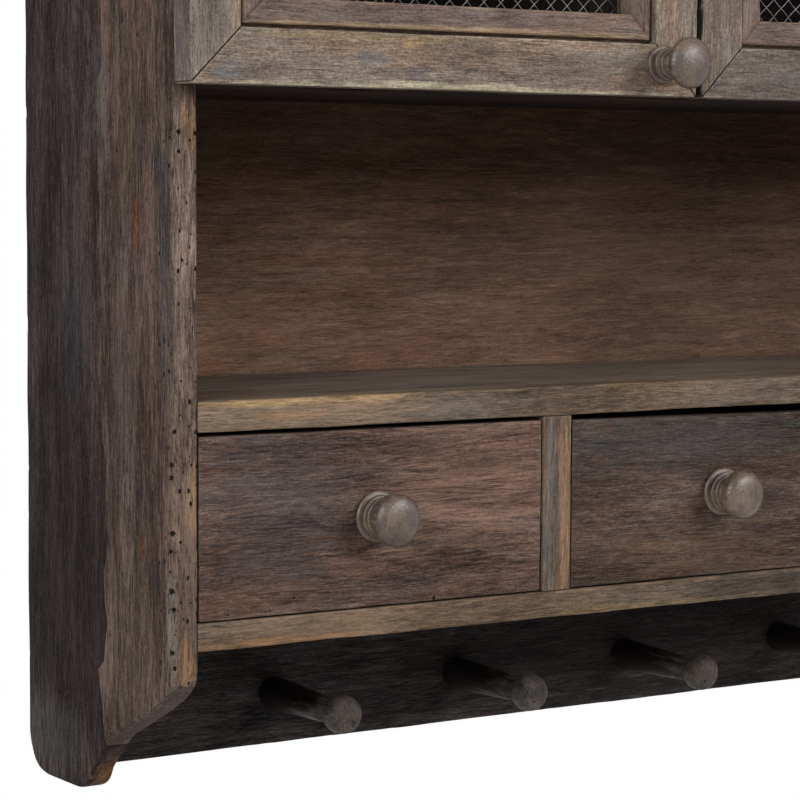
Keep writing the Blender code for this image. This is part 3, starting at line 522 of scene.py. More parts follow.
def wood(name, tones, rust, grey, rubbed, shares, cracks, flecks, contrast,
         grit=0.0, spots=(), holes=(), waxed=None):
    """Weathered wood: fibres, streaks, stains and painted shade, pale flecks as painted glints, pores, cracks,
    worm holes, end grain, rubbed edges.
    """
    tree = Tree(name)
    rust_share, grey_share, rubbed_share = shares
    grain = tree.attribute("grain", "Vector")
    drift = tree.noise(grain, *DRIFT_SIZE, 2.0, "Color")
    drift = tree.vector("SUBTRACT", drift, (0.5, 0.5, 0.5)).outputs[0]
    drift = tree.vector("MULTIPLY", drift, (0.0, GRAIN_DRIFT, GRAIN_DRIFT)).outputs[0]
    bent = tree.vector("ADD", grain, drift).outputs[0]

    total = 0.0
    for along, across, share in GRAIN_MARKS:
        mark = tree.fit(tree.noise(bent, along, across, 3.0), *GRAIN_SPAN)
        total = tree.math("MULTIPLY_ADD", mark, share, total)
    if grit:
        total = tree.math("ADD", total, tree.marks("speckle", grain, -0.5 * grit, 0.5 * grit))
    span = GRAIN_RANGE / contrast
    value = tree.fit(total, 0.5 - span, 0.5 + span)
    colour = tree.ramp(value, tones)
    cast = tree.marks("cast", bent)
    colour = tree.mix(1.0, colour, tree.mix(cast, COOL_CAST, WARM_CAST), "MULTIPLY")

    gain = tree.fit(value, 0.0, 1.0, *MARK_GAIN)
    sawn = [0.5 * (a + b) for a, b in zip(tones[2], grey)]
    sawn = tree.scaled(sawn, tree.marks("sawn", grain, *SAWN_GAIN))
    colour = tree.mix(tree.math("MULTIPLY", tree.attribute("end", "Fac"), END_SHARE), colour, sawn)
    colour = tree.mix(tree.marks("rust", bent, 0.0, rust_share), colour, tree.scaled(rust, gain))
    colour = tree.mix(tree.marks("grey", bent, 0.0, grey_share), colour, tree.scaled(grey, gain))
    if waxed:
        handled = tree.marks("handled", grain, 0.0, HANDLED_SHARE)
        colour = tree.mix(handled, colour, tree.scaled(rubbed, gain))
    # Spots: stains, and painted shade on some boards and on the pegs
    if spots:
        ragged = tree.marks("stain_rim", bent, -STAIN_AND_SHADE_RAGGED, STAIN_AND_SHADE_RAGGED)
    for centre, reach, stain_and_shade, share in spots:
        distance = tree.math("ADD", tree.away(centre, reach), ragged)
        colour = tree.mix(tree.fit(distance, *STAIN_AND_SHADE_FADE, share, 0.0), colour, tree.scaled(stain_and_shade, gain))

    worn = tree.math("ADD", tree.attribute("edge", "Fac"), tree.marks("torn", bent, *TORN))
    worn = tree.fit(worn, *WORN_SPAN, 0.0, rubbed_share)
    colour = tree.mix(worn, colour, tree.scaled(rubbed, gain))

    # pale flecks: painted glints of the grain
    colour = tree.mix(tree.marks("fleck", bent, 0.0, flecks), colour, times(tones[3], GLINT_FLECK_GAIN))
    pores = tree.marks("pore", grain)
    colour = tree.mix(tree.math("MULTIPLY", pores, PORE_SHARE * contrast), colour, tones[0])
    line = tree.math("ABSOLUTE", tree.math("SUBTRACT", tree.noise(bent, *CRACK_SIZE), 0.5))
    crack = tree.math("MULTIPLY", tree.fit(line, *CRACK_SPAN, 1.0, 0.0), tree.marks("cracked", bent))
    crack = tree.math("MULTIPLY", crack, cracks)
    colour = tree.mix(crack, colour, times(tones[0], CRACK_GAIN))

    if waxed:
        pitted = tree.math("MULTIPLY", tree.marks("pitted", grain), tree.marks("pit", grain))
        colour = tree.mix(tree.math("MULTIPLY", pitted, PIT_SHARE), colour, times(tones[0], PIT_GAIN))
        crack = tree.math("MAXIMUM", crack, pitted)

    height = tree.math("MULTIPLY_ADD", pores, -PORE_DEPTH * contrast, value)
    height = tree.math("MULTIPLY_ADD", crack, -CRACK_DEPTH, height)
    for bored, centre, reach, share in holes:
        pit = worm_holes(tree, bored, centre, reach, share)
        colour = tree.mix(pit, colour, WORM_COLOUR)
        height = tree.math("MULTIPLY_ADD", pit, -WORM_DEPTH, height)
    tree.put(tree.shader.inputs["Base Color"], colour)
    smooth, rough, level = waxed or BARE
    tree.put(tree.shader.inputs["Roughness"], tree.fit(value, 0.1, 0.9, rough, smooth))
    tree.shader.inputs["Specular IOR Level"].default_value = level
    tree.bump(height, BUMP_DEPTH, WAXED_BUMP if waxed else BARE_BUMP)
    return tree.material


def worm_holes(tree, bored, centre, reach, share):
    """Small holes bored by beetles along one axis, in one stretch of a board."""
    place = tree.node("ShaderNodeSeparateXYZ", {0: tree.place()}).outputs
    across = place["Y" if bored == "X" else "X"]
    up = tree.math("MULTIPLY", place["Z"], WORM_STRETCH)
    flat = tree.node("ShaderNodeCombineXYZ", {0: across, 1: up}).outputs[0]
    inputs = {"Vector": flat, "Scale": WORM_CELLS, "Randomness": 1.0}
    cells = tree.node("ShaderNodeTexVoronoi", inputs, voronoi_dimensions="2D")
    tint = tree.node("ShaderNodeSeparateColor", {"Color": cells.outputs["Color"]})
    size = tree.fit(tint.outputs[1], 0.0, 1.0, *WORM_SIZES)
    ragged = tree.marks("worm_rim", tree.place(), -WORM_RAGGED, WORM_RAGGED)
    near = tree.math("LESS_THAN", tree.math("ADD", cells.outputs["Distance"], ragged), size)
    near = tree.math("MULTIPLY", near, tree.math("LESS_THAN", tint.outputs[0], share))
    return tree.math("MULTIPLY", near, tree.fit(tree.away(centre, reach), 0.8, 1.0, 1.0, 0.0))


def metal(name, colour, tarnish, roughness):
    tree = Tree(name)
    place = tree.place()
    dull = tree.marks("tarnish", place)
    tree.put(tree.shader.inputs["Base Color"], tree.mix(dull, colour, tarnish))
    tree.put(tree.shader.inputs["Roughness"], tree.fit(dull, 0.0, 1.0, roughness, roughness + TARNISH_ROUGH))
    tree.shader.inputs["Metallic"].default_value = METALLIC
    tree.bump(tree.noise(place, *METAL_PITS), *METAL_BUMP)
    return tree.material


LOOKS = {
    "steel": metal("steel", (0.16, 0.145, 0.125), (0.06, 0.034, 0.020), 0.50),
    "wire": metal("wire", (0.20, 0.20, 0.20), (0.11, 0.10, 0.095), 0.40),
}


def wood_of(kind, node=None):
    """The look of a kind of wood, or of one board that has its own spots, stains and painted shade, or its own
    worm holes.
    """
    own = node in SPOTS or node in HOLES
    name = node if own else kind
    if name not in LOOKS:
        spots = SPOTS.get(name, ())
        LOOKS[name] = wood(name, **WOODS[kind], spots=spots, holes=HOLES.get(name, ()), waxed=WAXED.get(kind))
    return LOOKS[name]


def ripple(points, wavelength, seed):
    """Smooth noise between about -1 and 1: sine waves in seeded directions."""
    draw = np.random.default_rng(seed)
    total = np.zeros(len(points))
    for _ in range(RIPPLES):
        way = draw.normal(size=3)
        way *= 2 * math.pi / (np.linalg.norm(way) * wavelength * draw.uniform(0.6, 1.6))
        total += np.sin(points @ way + draw.uniform(0, 2 * math.pi))
    return total / 2.5


def patchy(points, wavelength, seed):
    """The same noise, kept between 0 and 1."""
    return 0.5 + 0.5 * np.clip(ripple(points, wavelength, seed), -1, 1)


def seed_of(name):
    return zlib.crc32(name.encode())


def body_of(node):
    for body, members in frame["record"]["behaviour"]["bodies"].items():
        if node in members:
            return body
    raise KeyError(node)


def grain_of(points, along, seed, slant=0.0):
    """Grain coordinates: first the place along the grain, then the two across it, shifted for each piece."""
    order = {"X": (0, 1, 2), "Y": (1, 0, 2), "Z": (2, 0, 1)}[along]
    run, deep, across = points[:, order].T
    cos, sin = math.cos(math.radians(slant)), math.sin(math.radians(slant))
    shift = np.random.default_rng(seed).uniform(-9, 9, 3)
    return np.stack([cos * run + sin * across, deep, cos * across - sin * run], 1) + shift


def make_shell(points, faces, grain, edge=None, end=None):
    """A closed surface with its grain, and with how near an edge and how much on a sawn end each point is."""
    none = np.zeros(len(points))
    return Shell(points, faces, grain, none if edge is None else edge, none if end is None else end)


def add_piece(name, body, look, shells, nodes=()):
    """One object made of shells, riding on a body."""
    faces = []
    first = 0
    for shell in shells:
        faces += [[first + int(i) for i in face] for face in shell.faces]
        first += len(shell.points)
    data = bpy.data.meshes.new(name)
    data.from_pydata(np.concatenate([shell.points for shell in shells]).tolist(), [], faces)
    grain = np.concatenate([shell.grain for shell in shells])
    data.attributes.new("grain", "FLOAT_VECTOR", "POINT").data.foreach_set("vector", grain.ravel())
    for share in ("edge", "end"):
        values = np.concatenate([getattr(shell, share) for shell in shells])
        data.attributes.new(share, "FLOAT", "POINT").data.foreach_set("value", values)
    data.shade_smooth()
    data.materials.append(look)
    made = bpy.data.objects.new(name, data)
    bpy.context.scene.collection.objects.link(made)
    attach(made, body)
    if nodes:
        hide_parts(*nodes)
    return made


def lines(length, cell, arris):
    """Grid lines along one side of a board, closer together near its ends."""
    margin = [share * arris for share in EDGE_LINES]
    if length < 5 * arris:
        return np.linspace(0, length, 7)
    count = max(2, round((length - 2 * margin[-1]) / cell) + 1)
    inner = np.linspace(margin[-1], length - margin[-1], count)
    return np.concatenate([margin[:-1], inner, [length - m for m in margin[-2::-1]]])


def box_grid(counts):
    """Grid places and quads of a box's surface."""
    on = np.zeros(counts, bool)
    on[[0, -1]] = True
    on[:, [0, -1]] = True
    on[:, :, [0, -1]] = True
    number = np.full(counts, -1)
    number[on] = np.arange(on.sum())
    quads = []
    for axis in range(3):
        for end in (0, -1):
            sheet = np.take(number, end, axis)
            quad = np.stack([sheet[:-1, :-1], sheet[1:, :-1], sheet[1:, 1:], sheet[:-1, 1:]], -1)
            quad = quad.reshape(-1, 4)
            outward = (end == -1) != (axis == 1)
            quads.append(quad if outward else quad[:, ::-1])
    return np.argwhere(on), np.concatenate(quads)


def worn_block(size, along, cell, arris, wave, seed, crisp=()):
    """Points, quads, edge share and end share of a block with uneven arrises and slightly hollow faces."""
    size = np.array(size)
    places = [lines(size[i], cell[i], arris) for i in range(3)]
    where, quads = box_grid([len(place) for place in places])
    local = np.stack([places[i][where[:, i]] for i in range(3)], 1)
    inset = np.sort(np.minimum(local, size - local), 1)[:, 1]
    edge = np.clip(1 - inset / EDGE_BAND, 0, 1)
    run = "XYZ".index(along)
    end = np.isin(where[:, run], (0, len(places[run]) - 1)).astype(float)
    turn = arris * np.clip(0.75 + 0.40 * ripple(local, ARRIS_WAVE, seed), 0.25, 1.6)
    turn += 1.1 * arris * np.clip(ripple(local, CHIP_WAVE, seed + 1) - 0.9, 0, 0.8)
    turn = np.repeat(np.minimum(turn, size.min() * 0.49)[:, None], 3, 1)
    turn[:, crisp] *= CRISP
    core = np.clip(local, turn, size - turn)
    away = local - core
    length = np.linalg.norm(away / turn, axis=1, keepdims=True)
    local = core + away / np.maximum(length, 1)
    for axis in range(3):
        share = 2 * local[:, axis] / size[axis] - 1
        local[:, axis] -= share * wave * patchy(local, HOLLOW_WAVE, seed + 2 + axis)
    return local, quads, edge, end


def board(node, kind, along, cell=CELL, arris=ARRIS, crisp=(), shape=None):
    """A worn board in place of a CAD node. shape moves its points, given from the board's low corner."""
    low, high = map(np.array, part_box(node))
    cells = cell if isinstance(cell, tuple) else (cell,) * 3
    seed = seed_of(node)
    local, quads, edge, end = worn_block(high - low, along, cells, arris, SURFACE_WAVE, seed, list(crisp))
    if shape:
        local = shape(local, high - low)
    points = local + low
    grain = grain_of(points, along, seed, SLANTS.get(node, 0.0))
    shells = [make_shell(points, quads, grain, edge, end)]
    return add_piece(f"{node}_worn", body_of(node), wood_of(kind, node), shells, [node])


def block_shell(low, high, along, seed, cell=0.006, arris=0.0006):
    """One worn block between two corners, as a shell."""
    size = np.array(high) - np.array(low)
    local, quads, edge, end = worn_block(size, along, (cell,) * 3, arris, SURFACE_WAVE * 0.3, seed)
    points = local + np.array(low)
    return make_shell(points, quads, grain_of(points, along, seed), edge, end)


def make_sides():
    for hand in ("left", "right"):
        for part, kind in (("front", "pale_board"), ("rear", "dark_board")):
            side_board(f"{hand}_side_{part}_board", hand, part, kind)


def side_board(node, hand, part, kind):
    """A board of a side: its columns follow the lower outline, and its long edge follows the ragged seam."""
    low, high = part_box(node)
    mesh = np.array([vertex.co for vertex in frame["nodes"][node].data.vertices])
    between = (mesh[:, 0] > low.x + FACE_SKIN) & (mesh[:, 0] < high.x - FACE_SKIN)
    under = mesh[between & (mesh[:, 2] < (low.z + high.z) / 2)]
    under = under[np.argsort(under[:, 1])]
    outer = -1 if hand == "left" else 1
    heights, courses = zip(*SEAM_COURSE)
    seed = seed_of(hand)

    def shape(local, size):
        rise = np.interp(local[:, 1] + low.y, under[:, 1], under[:, 2]) - low.z
        lifted = local.copy()
        lifted[:, 2] += rise * np.clip(1 - local[:, 2] / SHAPED_HEIGHT, 0, 1)
        depth = local[:, 1] / size[1]
        near = depth**3 if part == "front" else (1 - depth) ** 3
        run = np.stack([np.zeros(len(local)), np.zeros(len(local)), lifted[:, 2] + low.z], 1)
        course = np.interp(run[:, 2], heights, courses) * (1 if hand == "left" else RIGHT_COURSE)
        chips = ripple(run, SEAM_WAVES[0], seed) + 0.6 * ripple(run, SEAM_WAVES[1], seed + 1)
        lifted[:, 1] += near * (course + SEAM_CHIPS * chips)
        if part == "rear":
            face = local[:, 0] / size[0] if outer > 0 else 1 - local[:, 0] / size[0]
            ragged = np.clip(0.7 + 0.3 * ripple(run, STEP_WAVE, seed + 2), 0.2, 1)
            lifted[:, 0] -= outer * near * face * SEAM_STEP * ragged
        nose = SIDE_NOSE * np.clip(0.8 + 0.35 * ripple(run, NOSE_WAVE, seed + 3), 0.3, 1.4)
        corner = np.clip(1 - local[:, 2] / nose, 0, 1)
        if part == "front":
            corner = np.maximum(corner, np.clip(1 - local[:, 1] / nose, 0, 1))
        thin = nose * (1 - np.sqrt(1 - corner**2))
        lifted[:, 0] -= outer * thin * np.clip(outer * (2 * local[:, 0] / size[0] - 1), 0, 1)
        return lifted

    board(node, kind, "Z", cell=SIDE_CELL, shape=shape)


def make_carcass():
    board("top_board", "brown_board", "X", cell=0.008, arris=0.0025)
    board("upper_shelf", "bay_board", "X", cell=0.007, crisp=(0,))
    board("niche_shelf", "brown_board", "X", cell=0.006, arris=0.0018, crisp=(0,))
    board("bottom_board", "brown_board", "X", cell=0.006, arris=0.0018, crisp=(0,))
    board("hanging_rail", "bay_board", "X", cell=0.008, crisp=(0,))
    board("peg_rail", "peg_rail", "X", cell=0.006, crisp=(0,))
    for number in (1, 2, 3):
        board(f"drawer_divider_{number}", "brown_board", "Z", cell=0.004, arris=0.0010, crisp=(2,))

    back = board("back_panel", "niche_back", "X", cell=0.010, arris=0.0008, crisp=(0, 2))
    # The back panel's faces inside the bay take the near-black bay wood: dark stain and painted shade
    back.data.materials.append(wood_of("bay_board"))
    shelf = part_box("upper_shelf")[0].z
    for face in back.data.polygons:
        inside = face.normal.y < -0.5 and face.center.z > shelf
        face.material_index = int(inside)


def make_partition():
    """The partition is notched round the hanging rail."""
    rail_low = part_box("hanging_rail")[0]
    low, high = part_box("bay_partition")

    def shape(local, size):
        notched = local.copy()
        z = local[:, 2] + low.z
        back = np.where(z > rail_low.z - NOTCH_GAP, rail_low.y - NOTCH_GAP, high.y)
        limit = (back - low.y) / size[1]
        notched[:, 1] = local[:, 1] * limit
        return notched

    board("bay_partition", "bay_board", "Z", cell=0.005, crisp=(2,), shape=shape)


def make_drawers():
    def drop(local, size):
        fallen = local.copy()
        fallen[:, 2] *= 1 - DRAWER_2_DROP / size[2] * local[:, 0] / size[0]
        return fallen

    for number in (1, 2, 3, 4):
        kind = "drawer_1" if number % 2 else "drawer_2"
        shape = drop if number == 2 else None
        board(f"drawer_{number}_front", kind, "X", cell=0.004, arris=0.0010, shape=shape)
        drawer_box(number)


def drawer_box(number):
    """Two sides, a back and a floor let in between them."""
    node = f"drawer_{number}_box"
    (x0, y0, z0), (x1, y1, z1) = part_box(node)
    seed = seed_of(node)
    in_x0, in_x1 = x0 + DRAWER_WALL_T, x1 - DRAWER_WALL_T
    in_y1 = y1 - DRAWER_WALL_T
    gap = JOINT_GAP
    shells = [
        block_shell((x0, y0, z0), (in_x0, y1, z1), "Y", seed),
        block_shell((in_x1, y0, z0), (x1, y1, z1), "Y", seed + 10),
        block_shell((in_x0 + gap, in_y1, z0), (in_x1 - gap, y1, z1), "X", seed + 20),
        block_shell((in_x0 + gap, y0, z0), (in_x1 - gap, in_y1 - gap, z0 + DRAWER_FLOOR_T), "X", seed + 30),
    ]
    add_piece(f"{node}_worn", body_of(node), wood_of("drawer_box"), shells, [node])


def mitre(axis, other, toward_high):
    """Shortens a member along one axis as it goes inwards along the other, for mitred ends."""

    def shape(local, size):
        inward = size[other] - local[:, other] if toward_high else local[:, other]
        inward = inward - MITRE_CLOSED * np.clip(inward / MITRE_TIP, 0, 1)
        cut = local.copy()
        cut[:, axis] = inward + local[:, axis] * (size[axis] - 2 * inward) / size[axis]
        return cut

    return shape


def make_door_frames():
    for number in (1, 2, 3):
        kind = "door_frame_dark" if number == 2 else "door_frame"
        for member, axis, other, flip in (
            ("left_stile", 2, 0, False),
            ("right_stile", 2, 0, True),
            ("bottom_rail", 0, 2, False),
            ("top_rail", 0, 2, True),
        ):
            node = f"door_{number}_{member}"
            along = "XYZ"[axis]
            shape = mitre(axis, other, flip)
            board(node, kind, along, cell=0.0035, arris=0.0010, crisp=(axis,), shape=shape)


def moulding_section(face, back):
    """Pairs of inset from the door frame and depth, round a strip of moulding."""
    flat = np.linspace(GROOVE_W + MOULDING_ARRIS, MOULDING_W - MOULDING_ARRIS, 8)
    bends = [(1 - math.sin(a), 1 - math.cos(a)) for a in np.radians((20, 45, 70))]
    rise = [(GROOVE_W + MOULDING_ARRIS * a, face + MOULDING_ARRIS * b) for a, b in reversed(bends)]
    fall = [(MOULDING_W - MOULDING_ARRIS * a, face + MOULDING_ARRIS * b) for a, b in bends]
    floor = face + GROOVE_DEPTH
    section = [(JOINT_GAP, back), (JOINT_GAP, floor), (GROOVE_W, floor), (GROOVE_W, face + MOULDING_ARRIS)]
    section += [*rise, *[(inset, face) for inset in flat], *fall]
    section += [(MOULDING_W, face + MOULDING_ARRIS), (MOULDING_W, back)]
    return section


def make_mouldings():
    for number in (1, 2, 3):
        node = f"door_{number}_moulding"
        low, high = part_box(node)
        section = moulding_section(low.y, high.y)
        corners = [(low.x, low.z), (high.x, low.z), (high.x, high.z), (low.x, high.z)]
        shells = []
        for side in range(4):
            seed = seed_of(node) + side
            points, faces, edge = moulding_strip(corners[side], corners[(side + 1) % 4], section, seed)
            shells.append(make_shell(points, faces, grain_of(points, "XZ"[side % 2], seed), edge))
        look = wood_of("door_moulding", node)
        add_piece(f"{node}_worn", body_of(node), look, shells, [node])


def moulding_strip(start, end, section, seed):
    """One mitred strip between two outer corners, with its inside to the left of the way it runs."""
    way = Vector(end) - Vector(start)
    length = way.length
    way.normalize()
    inward = Vector((-way.y, way.x))
    count = round(length / MOULDING_CELL)
    points = []
    for i in range(count + 1):
        for inset, y in section:
            end_inset = inset + JOINT_GAP
            reach = end_inset + (length - 2 * end_inset) * i / count
            place = Vector(start) + way * reach + inward * inset
            points.append((place.x, y, place.y))
    points = np.array(points)
    width = len(section)
    faces = []
    for i in range(count):
        for k in range(width):
            m = (k + 1) % width
            faces.append((i * width + k, (i + 1) * width + k, (i + 1) * width + m, i * width + m))
    faces.append(tuple(range(width)))
    faces.append(tuple(reversed(range(count * width, (count + 1) * width))))
    insets = np.array([inset for inset, _ in section] * (count + 1))
    to_edge = np.minimum(abs(insets - GROOVE_W), abs(insets - MOULDING_W))
    edge = np.clip(1 - to_edge / MOULDING_BAND, 0, 1)
    face_y = min(y for _, y in section)
    front = points[:, 1] < face_y + MOULDING_ARRIS * 1.01
    worn = patchy(points, MOULDING_WAVE, seed)
    points[:, 1] += front * worn * (MOULDING_WEAR + MOULDING_EDGE_WEAR * edge**2)
    return points, faces, edge


def make_nets():
    for number in (1, 2, 3):
        node = f"door_{number}_mesh"
        low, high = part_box(node)
        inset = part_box(f"door_{number}_moulding")[0].x + MOULDING_W - low.x - NET_BORDER
        corner = np.array((low.x + inset, low.z + inset))
        far = np.array((high.x - inset, high.z - inset))
        shells = net(corner, far, (low.y + high.y) / 2)
        add_piece(f"{node}_woven", body_of(node), LOOKS["wire"], shells, [node])


def net(low, high, depth):
    """Wires of two slants woven over and under each other, clipped to a rectangle."""
    shells = []
    step = np.array((DIAMOND_W / 2, DIAMOND_H / 2))
    across, up = np.floor((high - low) / step).astype(int)
    for slant in (1, -1):
        side = np.array((-slant * step[1], step[0]))
        side /= np.linalg.norm(side)
        for start in range(-up, across + up + 1, 2):
            path = []
            for j in range(up + 1):
                i = start + j if slant > 0 else start - j + up % 2
                if 0 <= i <= across:
                    over = 1 if (j % 2 == 0) == (slant > 0) else -1
                    path.append((low[0] + i * step[0], low[1] + j * step[1], over * WIRE_R * WEAVE))
            if len(path) > 1:
                shells.append(wire(path, side, depth))
    return shells


def wire(path, side, depth):
    """One wire. path has places across and up and the sway in depth at each crossing."""
    angles = 2 * math.pi * np.arange(WIRE_SIDES) / WIRE_SIDES
    wide = WIRE_R * np.cos(angles)
    deep = WIRE_R * np.sin(angles)
    rings = []
    for x, z, sway in path:
        rings.append(np.stack([x + side[0] * wide, depth + sway + deep, z + side[1] * wide], 1))
    points = np.concatenate(rings)
    return make_shell(points, tube_faces(len(path), WIRE_SIDES), points)


def tube_faces(rings, sides):
    """Faces of a tube of rings with both ends closed."""
    faces = []
    for i in range(rings - 1):
        for k in range(sides):
            m = (k + 1) % sides
            ring, after = i * sides, (i + 1) * sides
            faces.append((ring + k, ring + m, after + m, after + k))
    faces.append(list(reversed(range(sides))))
    faces.append([(rings - 1) * sides + k for k in range(sides)])
    return faces


def arc(middle, radii, start, stop, count, fullness=2.0):
    """Profile points round an ellipse or a squarer oval, by the angle from its widest ring."""
    power = 2 / fullness
    points = []
    for angle in np.radians(np.linspace(start, stop, count)):
        sin, cos = math.sin(angle), math.cos(angle)
        points.append((middle + radii[0] * math.copysign(abs(sin) ** power, sin), radii[1] * cos**power))
    return points


def revolved(profile, base, axis, steps, wobble, seed):
    """A solid turned about an axis through base. The profile's pairs are reach from base and radius."""
    angles = 2 * math.pi * np.arange(steps) / steps
    spokes = {
        "-Y": np.stack([np.cos(angles), 0 * angles, np.sin(angles)], 1),
        "Y": np.stack([np.sin(angles), 0 * angles, np.cos(angles)], 1),
        "Z": np.stack([np.cos(angles), np.sin(angles), 0 * angles], 1),
    }[axis]
    way = np.array({"-Y": (0, -1, 0), "Y": (0, 1, 0), "Z": (0, 0, 1)}[axis])
    local = np.concatenate([radius * spokes for _, radius in profile])
    reaches = np.repeat([reach for reach, _ in profile], steps)
    local = local + reaches[:, None] * way
    worn = 1 - wobble * patchy(local, TURNED_WAVE, seed)
    local[:, way == 0] *= worn[:, None]
    points = local + np.array(base)
    radii = np.repeat([radius for _, radius in profile], steps)
    edge = np.clip(radii / radii.max(), 0, 1) ** 8
    return make_shell(points, tube_faces(len(profile), steps), grain_of(points, axis[-1], seed), edge)


def turned(node, kind, profile):
    """A turned piece in place of a node, along -Y from the node's back."""
    low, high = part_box(node)
    base = ((low.x + high.x) / 2, high.y, (low.z + high.z) / 2)
    shell = revolved(profile, base, "-Y", TURNED_STEPS, WOBBLE, seed_of(node))
    add_piece(f"{node}_turned", body_of(node), wood_of(kind, kind), [shell], [node])


def knob_profile(reach, head_r, flange_r, ring_r, rings, head_t, fullness):
    """Flange with a rounded rim, thin rings and a flattened head."""
    head = arc(reach - head_t / 2, (head_t / 2, head_r), -62, 84, 20, fullness)
    profile = [(0.0, flange_r - KNOB_FLANGE_EASE)]
    profile += arc(KNOB_FLANGE_T / 2, (KNOB_FLANGE_T / 2, flange_r), -65, 65, 8)
    pitch = (head[0][0] - KNOB_FLANGE_T) / rings
    for number in range(rings):
        middle = KNOB_FLANGE_T + (number + 0.5) * pitch
        groove_r = ring_r - number * KNOB_RING_STEP - KNOB_RING_DEPTH
        bead = arc(middle, (KNOB_RING_SHARE * pitch, KNOB_RING_DEPTH), -90, 90, 9)
        profile += [(place, groove_r + rise) for place, rise in bead]
    return profile + head


def make_knobs():
    for kind, numbers in (("door", (1, 2, 3)), ("drawer", (1, 2, 3, 4))):
        for number in numbers:
            node = f"{kind}_{number}_knob"
            low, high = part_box(node)
            profile = knob_profile(high.y - low.y, (high.x - low.x) / 2, *KNOBS[kind])
            turned(node, "knob", profile)


def make_pegs():
    """Tapered shanks with a bead behind a rounded head."""
    for number in range(1, 7):
        node = f"peg_{number}"
        low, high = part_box(node)
        tenon = high.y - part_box("peg_rail")[0].y
        length = high.y - low.y
        head_r = (high.x - low.x) / 2
        head = arc(length - PEG_HEAD_T / 2, (PEG_HEAD_T / 2, head_r), -58, 84, 20, PEG_FULLNESS)
        neck = head[0][0] - PEG_BEAD_T
        profile = [(0.0, PEG_TENON_R), (tenon, PEG_TENON_R), (tenon + PEG_EASE, PEG_ROOT_R - PEG_EASE)]
        for share in (0.02, 0.2, 0.4, 0.6, 0.8, 1.0):
            profile.append((tenon + (neck - tenon) * share, PEG_ROOT_R + (PEG_NECK_R - PEG_ROOT_R) * share))
        profile += arc(neck + PEG_BEAD_T / 2, (PEG_BEAD_T / 2, PEG_BEAD_R), -60, 60, 7)
        turned(node, "peg", profile + head)


def screw(place, axis, seed):
    """A raised screw head with a recess in its middle."""
    profile = [(0.0, SCREW_R), *arc(0.0, (SCREW_RISE, SCREW_R), 10, 60, 4), (SCREW_RIM, SCREW_R * 0.35)]
    profile += [(SCREW_RECESS, SCREW_R * 0.28), (SCREW_RECESS, SCREW_R * 0.05)]
    return revolved(profile, place, axis, 20, 0.0, seed)


def knuckle(axis, low_z, high_z, seed):
    """One knuckle of a hinge's barrel, with eased ends."""
    ease = KNUCKLE_EASE
    length = high_z - low_z
    profile = [(0.0, BARREL_R - ease), (ease, BARREL_R), (length / 2, BARREL_R)]
    profile += [(length - ease, BARREL_R), (length, BARREL_R - ease)]
    return revolved(profile, (*axis, low_z), "Z", BARREL_STEPS, 0.0, seed)


def pin_tip(axis, end, sign, seed):
    """Domed end of a hinge's pin, above its barrel or below."""
    cap = [(0.0, PIN_R), *arc(0.0, (PIN_RISE, PIN_R), 15, 80, 5)]
    tip = revolved(cap, (*axis, 0.0), "Z", BARREL_STEPS, 0.0, seed)
    tip.points[:, 2] = end + sign * tip.points[:, 2]
    return tip if sign > 0 else tip._replace(faces=[face[::-1] for face in tip.faces])


def make_hinges():
    """Butt hinges in knuckles: one leaf on the cabinet, which replaces the node, and one on the door."""
    for joint in frame["joints"]:
        if joint["type"] == "hinge":
            for place in ("lower", "upper"):
                hinge(f"{joint['child']}_{place}_hinge", joint["child"], joint["pos_m"][:2])


def hinge(node, door, axis):
    low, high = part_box(node)
    seed = seed_of(node)
    step = (high.z - low.z) / KNUCKLES
    half_gap = KNUCKLE_GAP / 2
    spans = [(low.z + i * step + half_gap, low.z + (i + 1) * step - half_gap) for i in range(KNUCKLES)]
    fixed = [knuckle(axis, *span, seed) for span in spans[::2]]
    fixed += [pin_tip(axis, low.z, -1, seed), pin_tip(axis, high.z, 1, seed)]
    loose = [knuckle(axis, *span, seed) for span in spans[1::2]]
    edge_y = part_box("left_side_front_board")[0].y
    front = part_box(f"{door}_left_stile")[0].y
    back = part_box(f"{door}_left_stile")[1].y
    fixed_y = (edge_y - LEAF_SKIN - LEAF_T, edge_y - LEAF_SKIN)

    def leaf(x, y, number):
        ends = sorted(x), sorted(y)
        corners = [(ends[0][i], ends[1][i], (low.z, high.z)[i]) for i in (0, 1)]
        return block_shell(*corners, "Z", seed + number, arris=LEAF_ARRIS)

    if door == "door_2":
        shank = (axis[0] - LEAF_T / 2, axis[0] + LEAF_T / 2)
        fixed.append(leaf(shank, (axis[1] + LEAF_OFF_AXIS, fixed_y[1]), 1))
        fixed.append(leaf((shank[0], high.x), fixed_y, 2))
        plate_y = front - LEAF_SKIN - LEAF_T
        loose.append(leaf((axis[0], axis[0] + LOOSE_LEAF_W), (plate_y, front - LEAF_SKIN), 3))
        for z in (low.z + step / 2, (low.z + high.z) / 2, high.z - step / 2):
            loose.append(screw((axis[0] + LOOSE_LEAF_W * LEAF_SCREWS, plate_y, z), "-Y", seed))
    else:
        inward = 1 if door == "door_1" else -1
        leaf_x = (axis[0] + inward * LEAF_OFF_AXIS, high.x if inward > 0 else low.x)
        fixed.append(leaf(leaf_x, fixed_y, 1))
        loose.append(leaf(leaf_x, (back - LET_IN, back + PROUD), 3))
    add_piece(f"{node}_fixed_leaf", "cabinet", LOOKS["steel"], fixed, [node])
    add_piece(f"{node}_loose_leaf", door, LOOKS["steel"], loose)


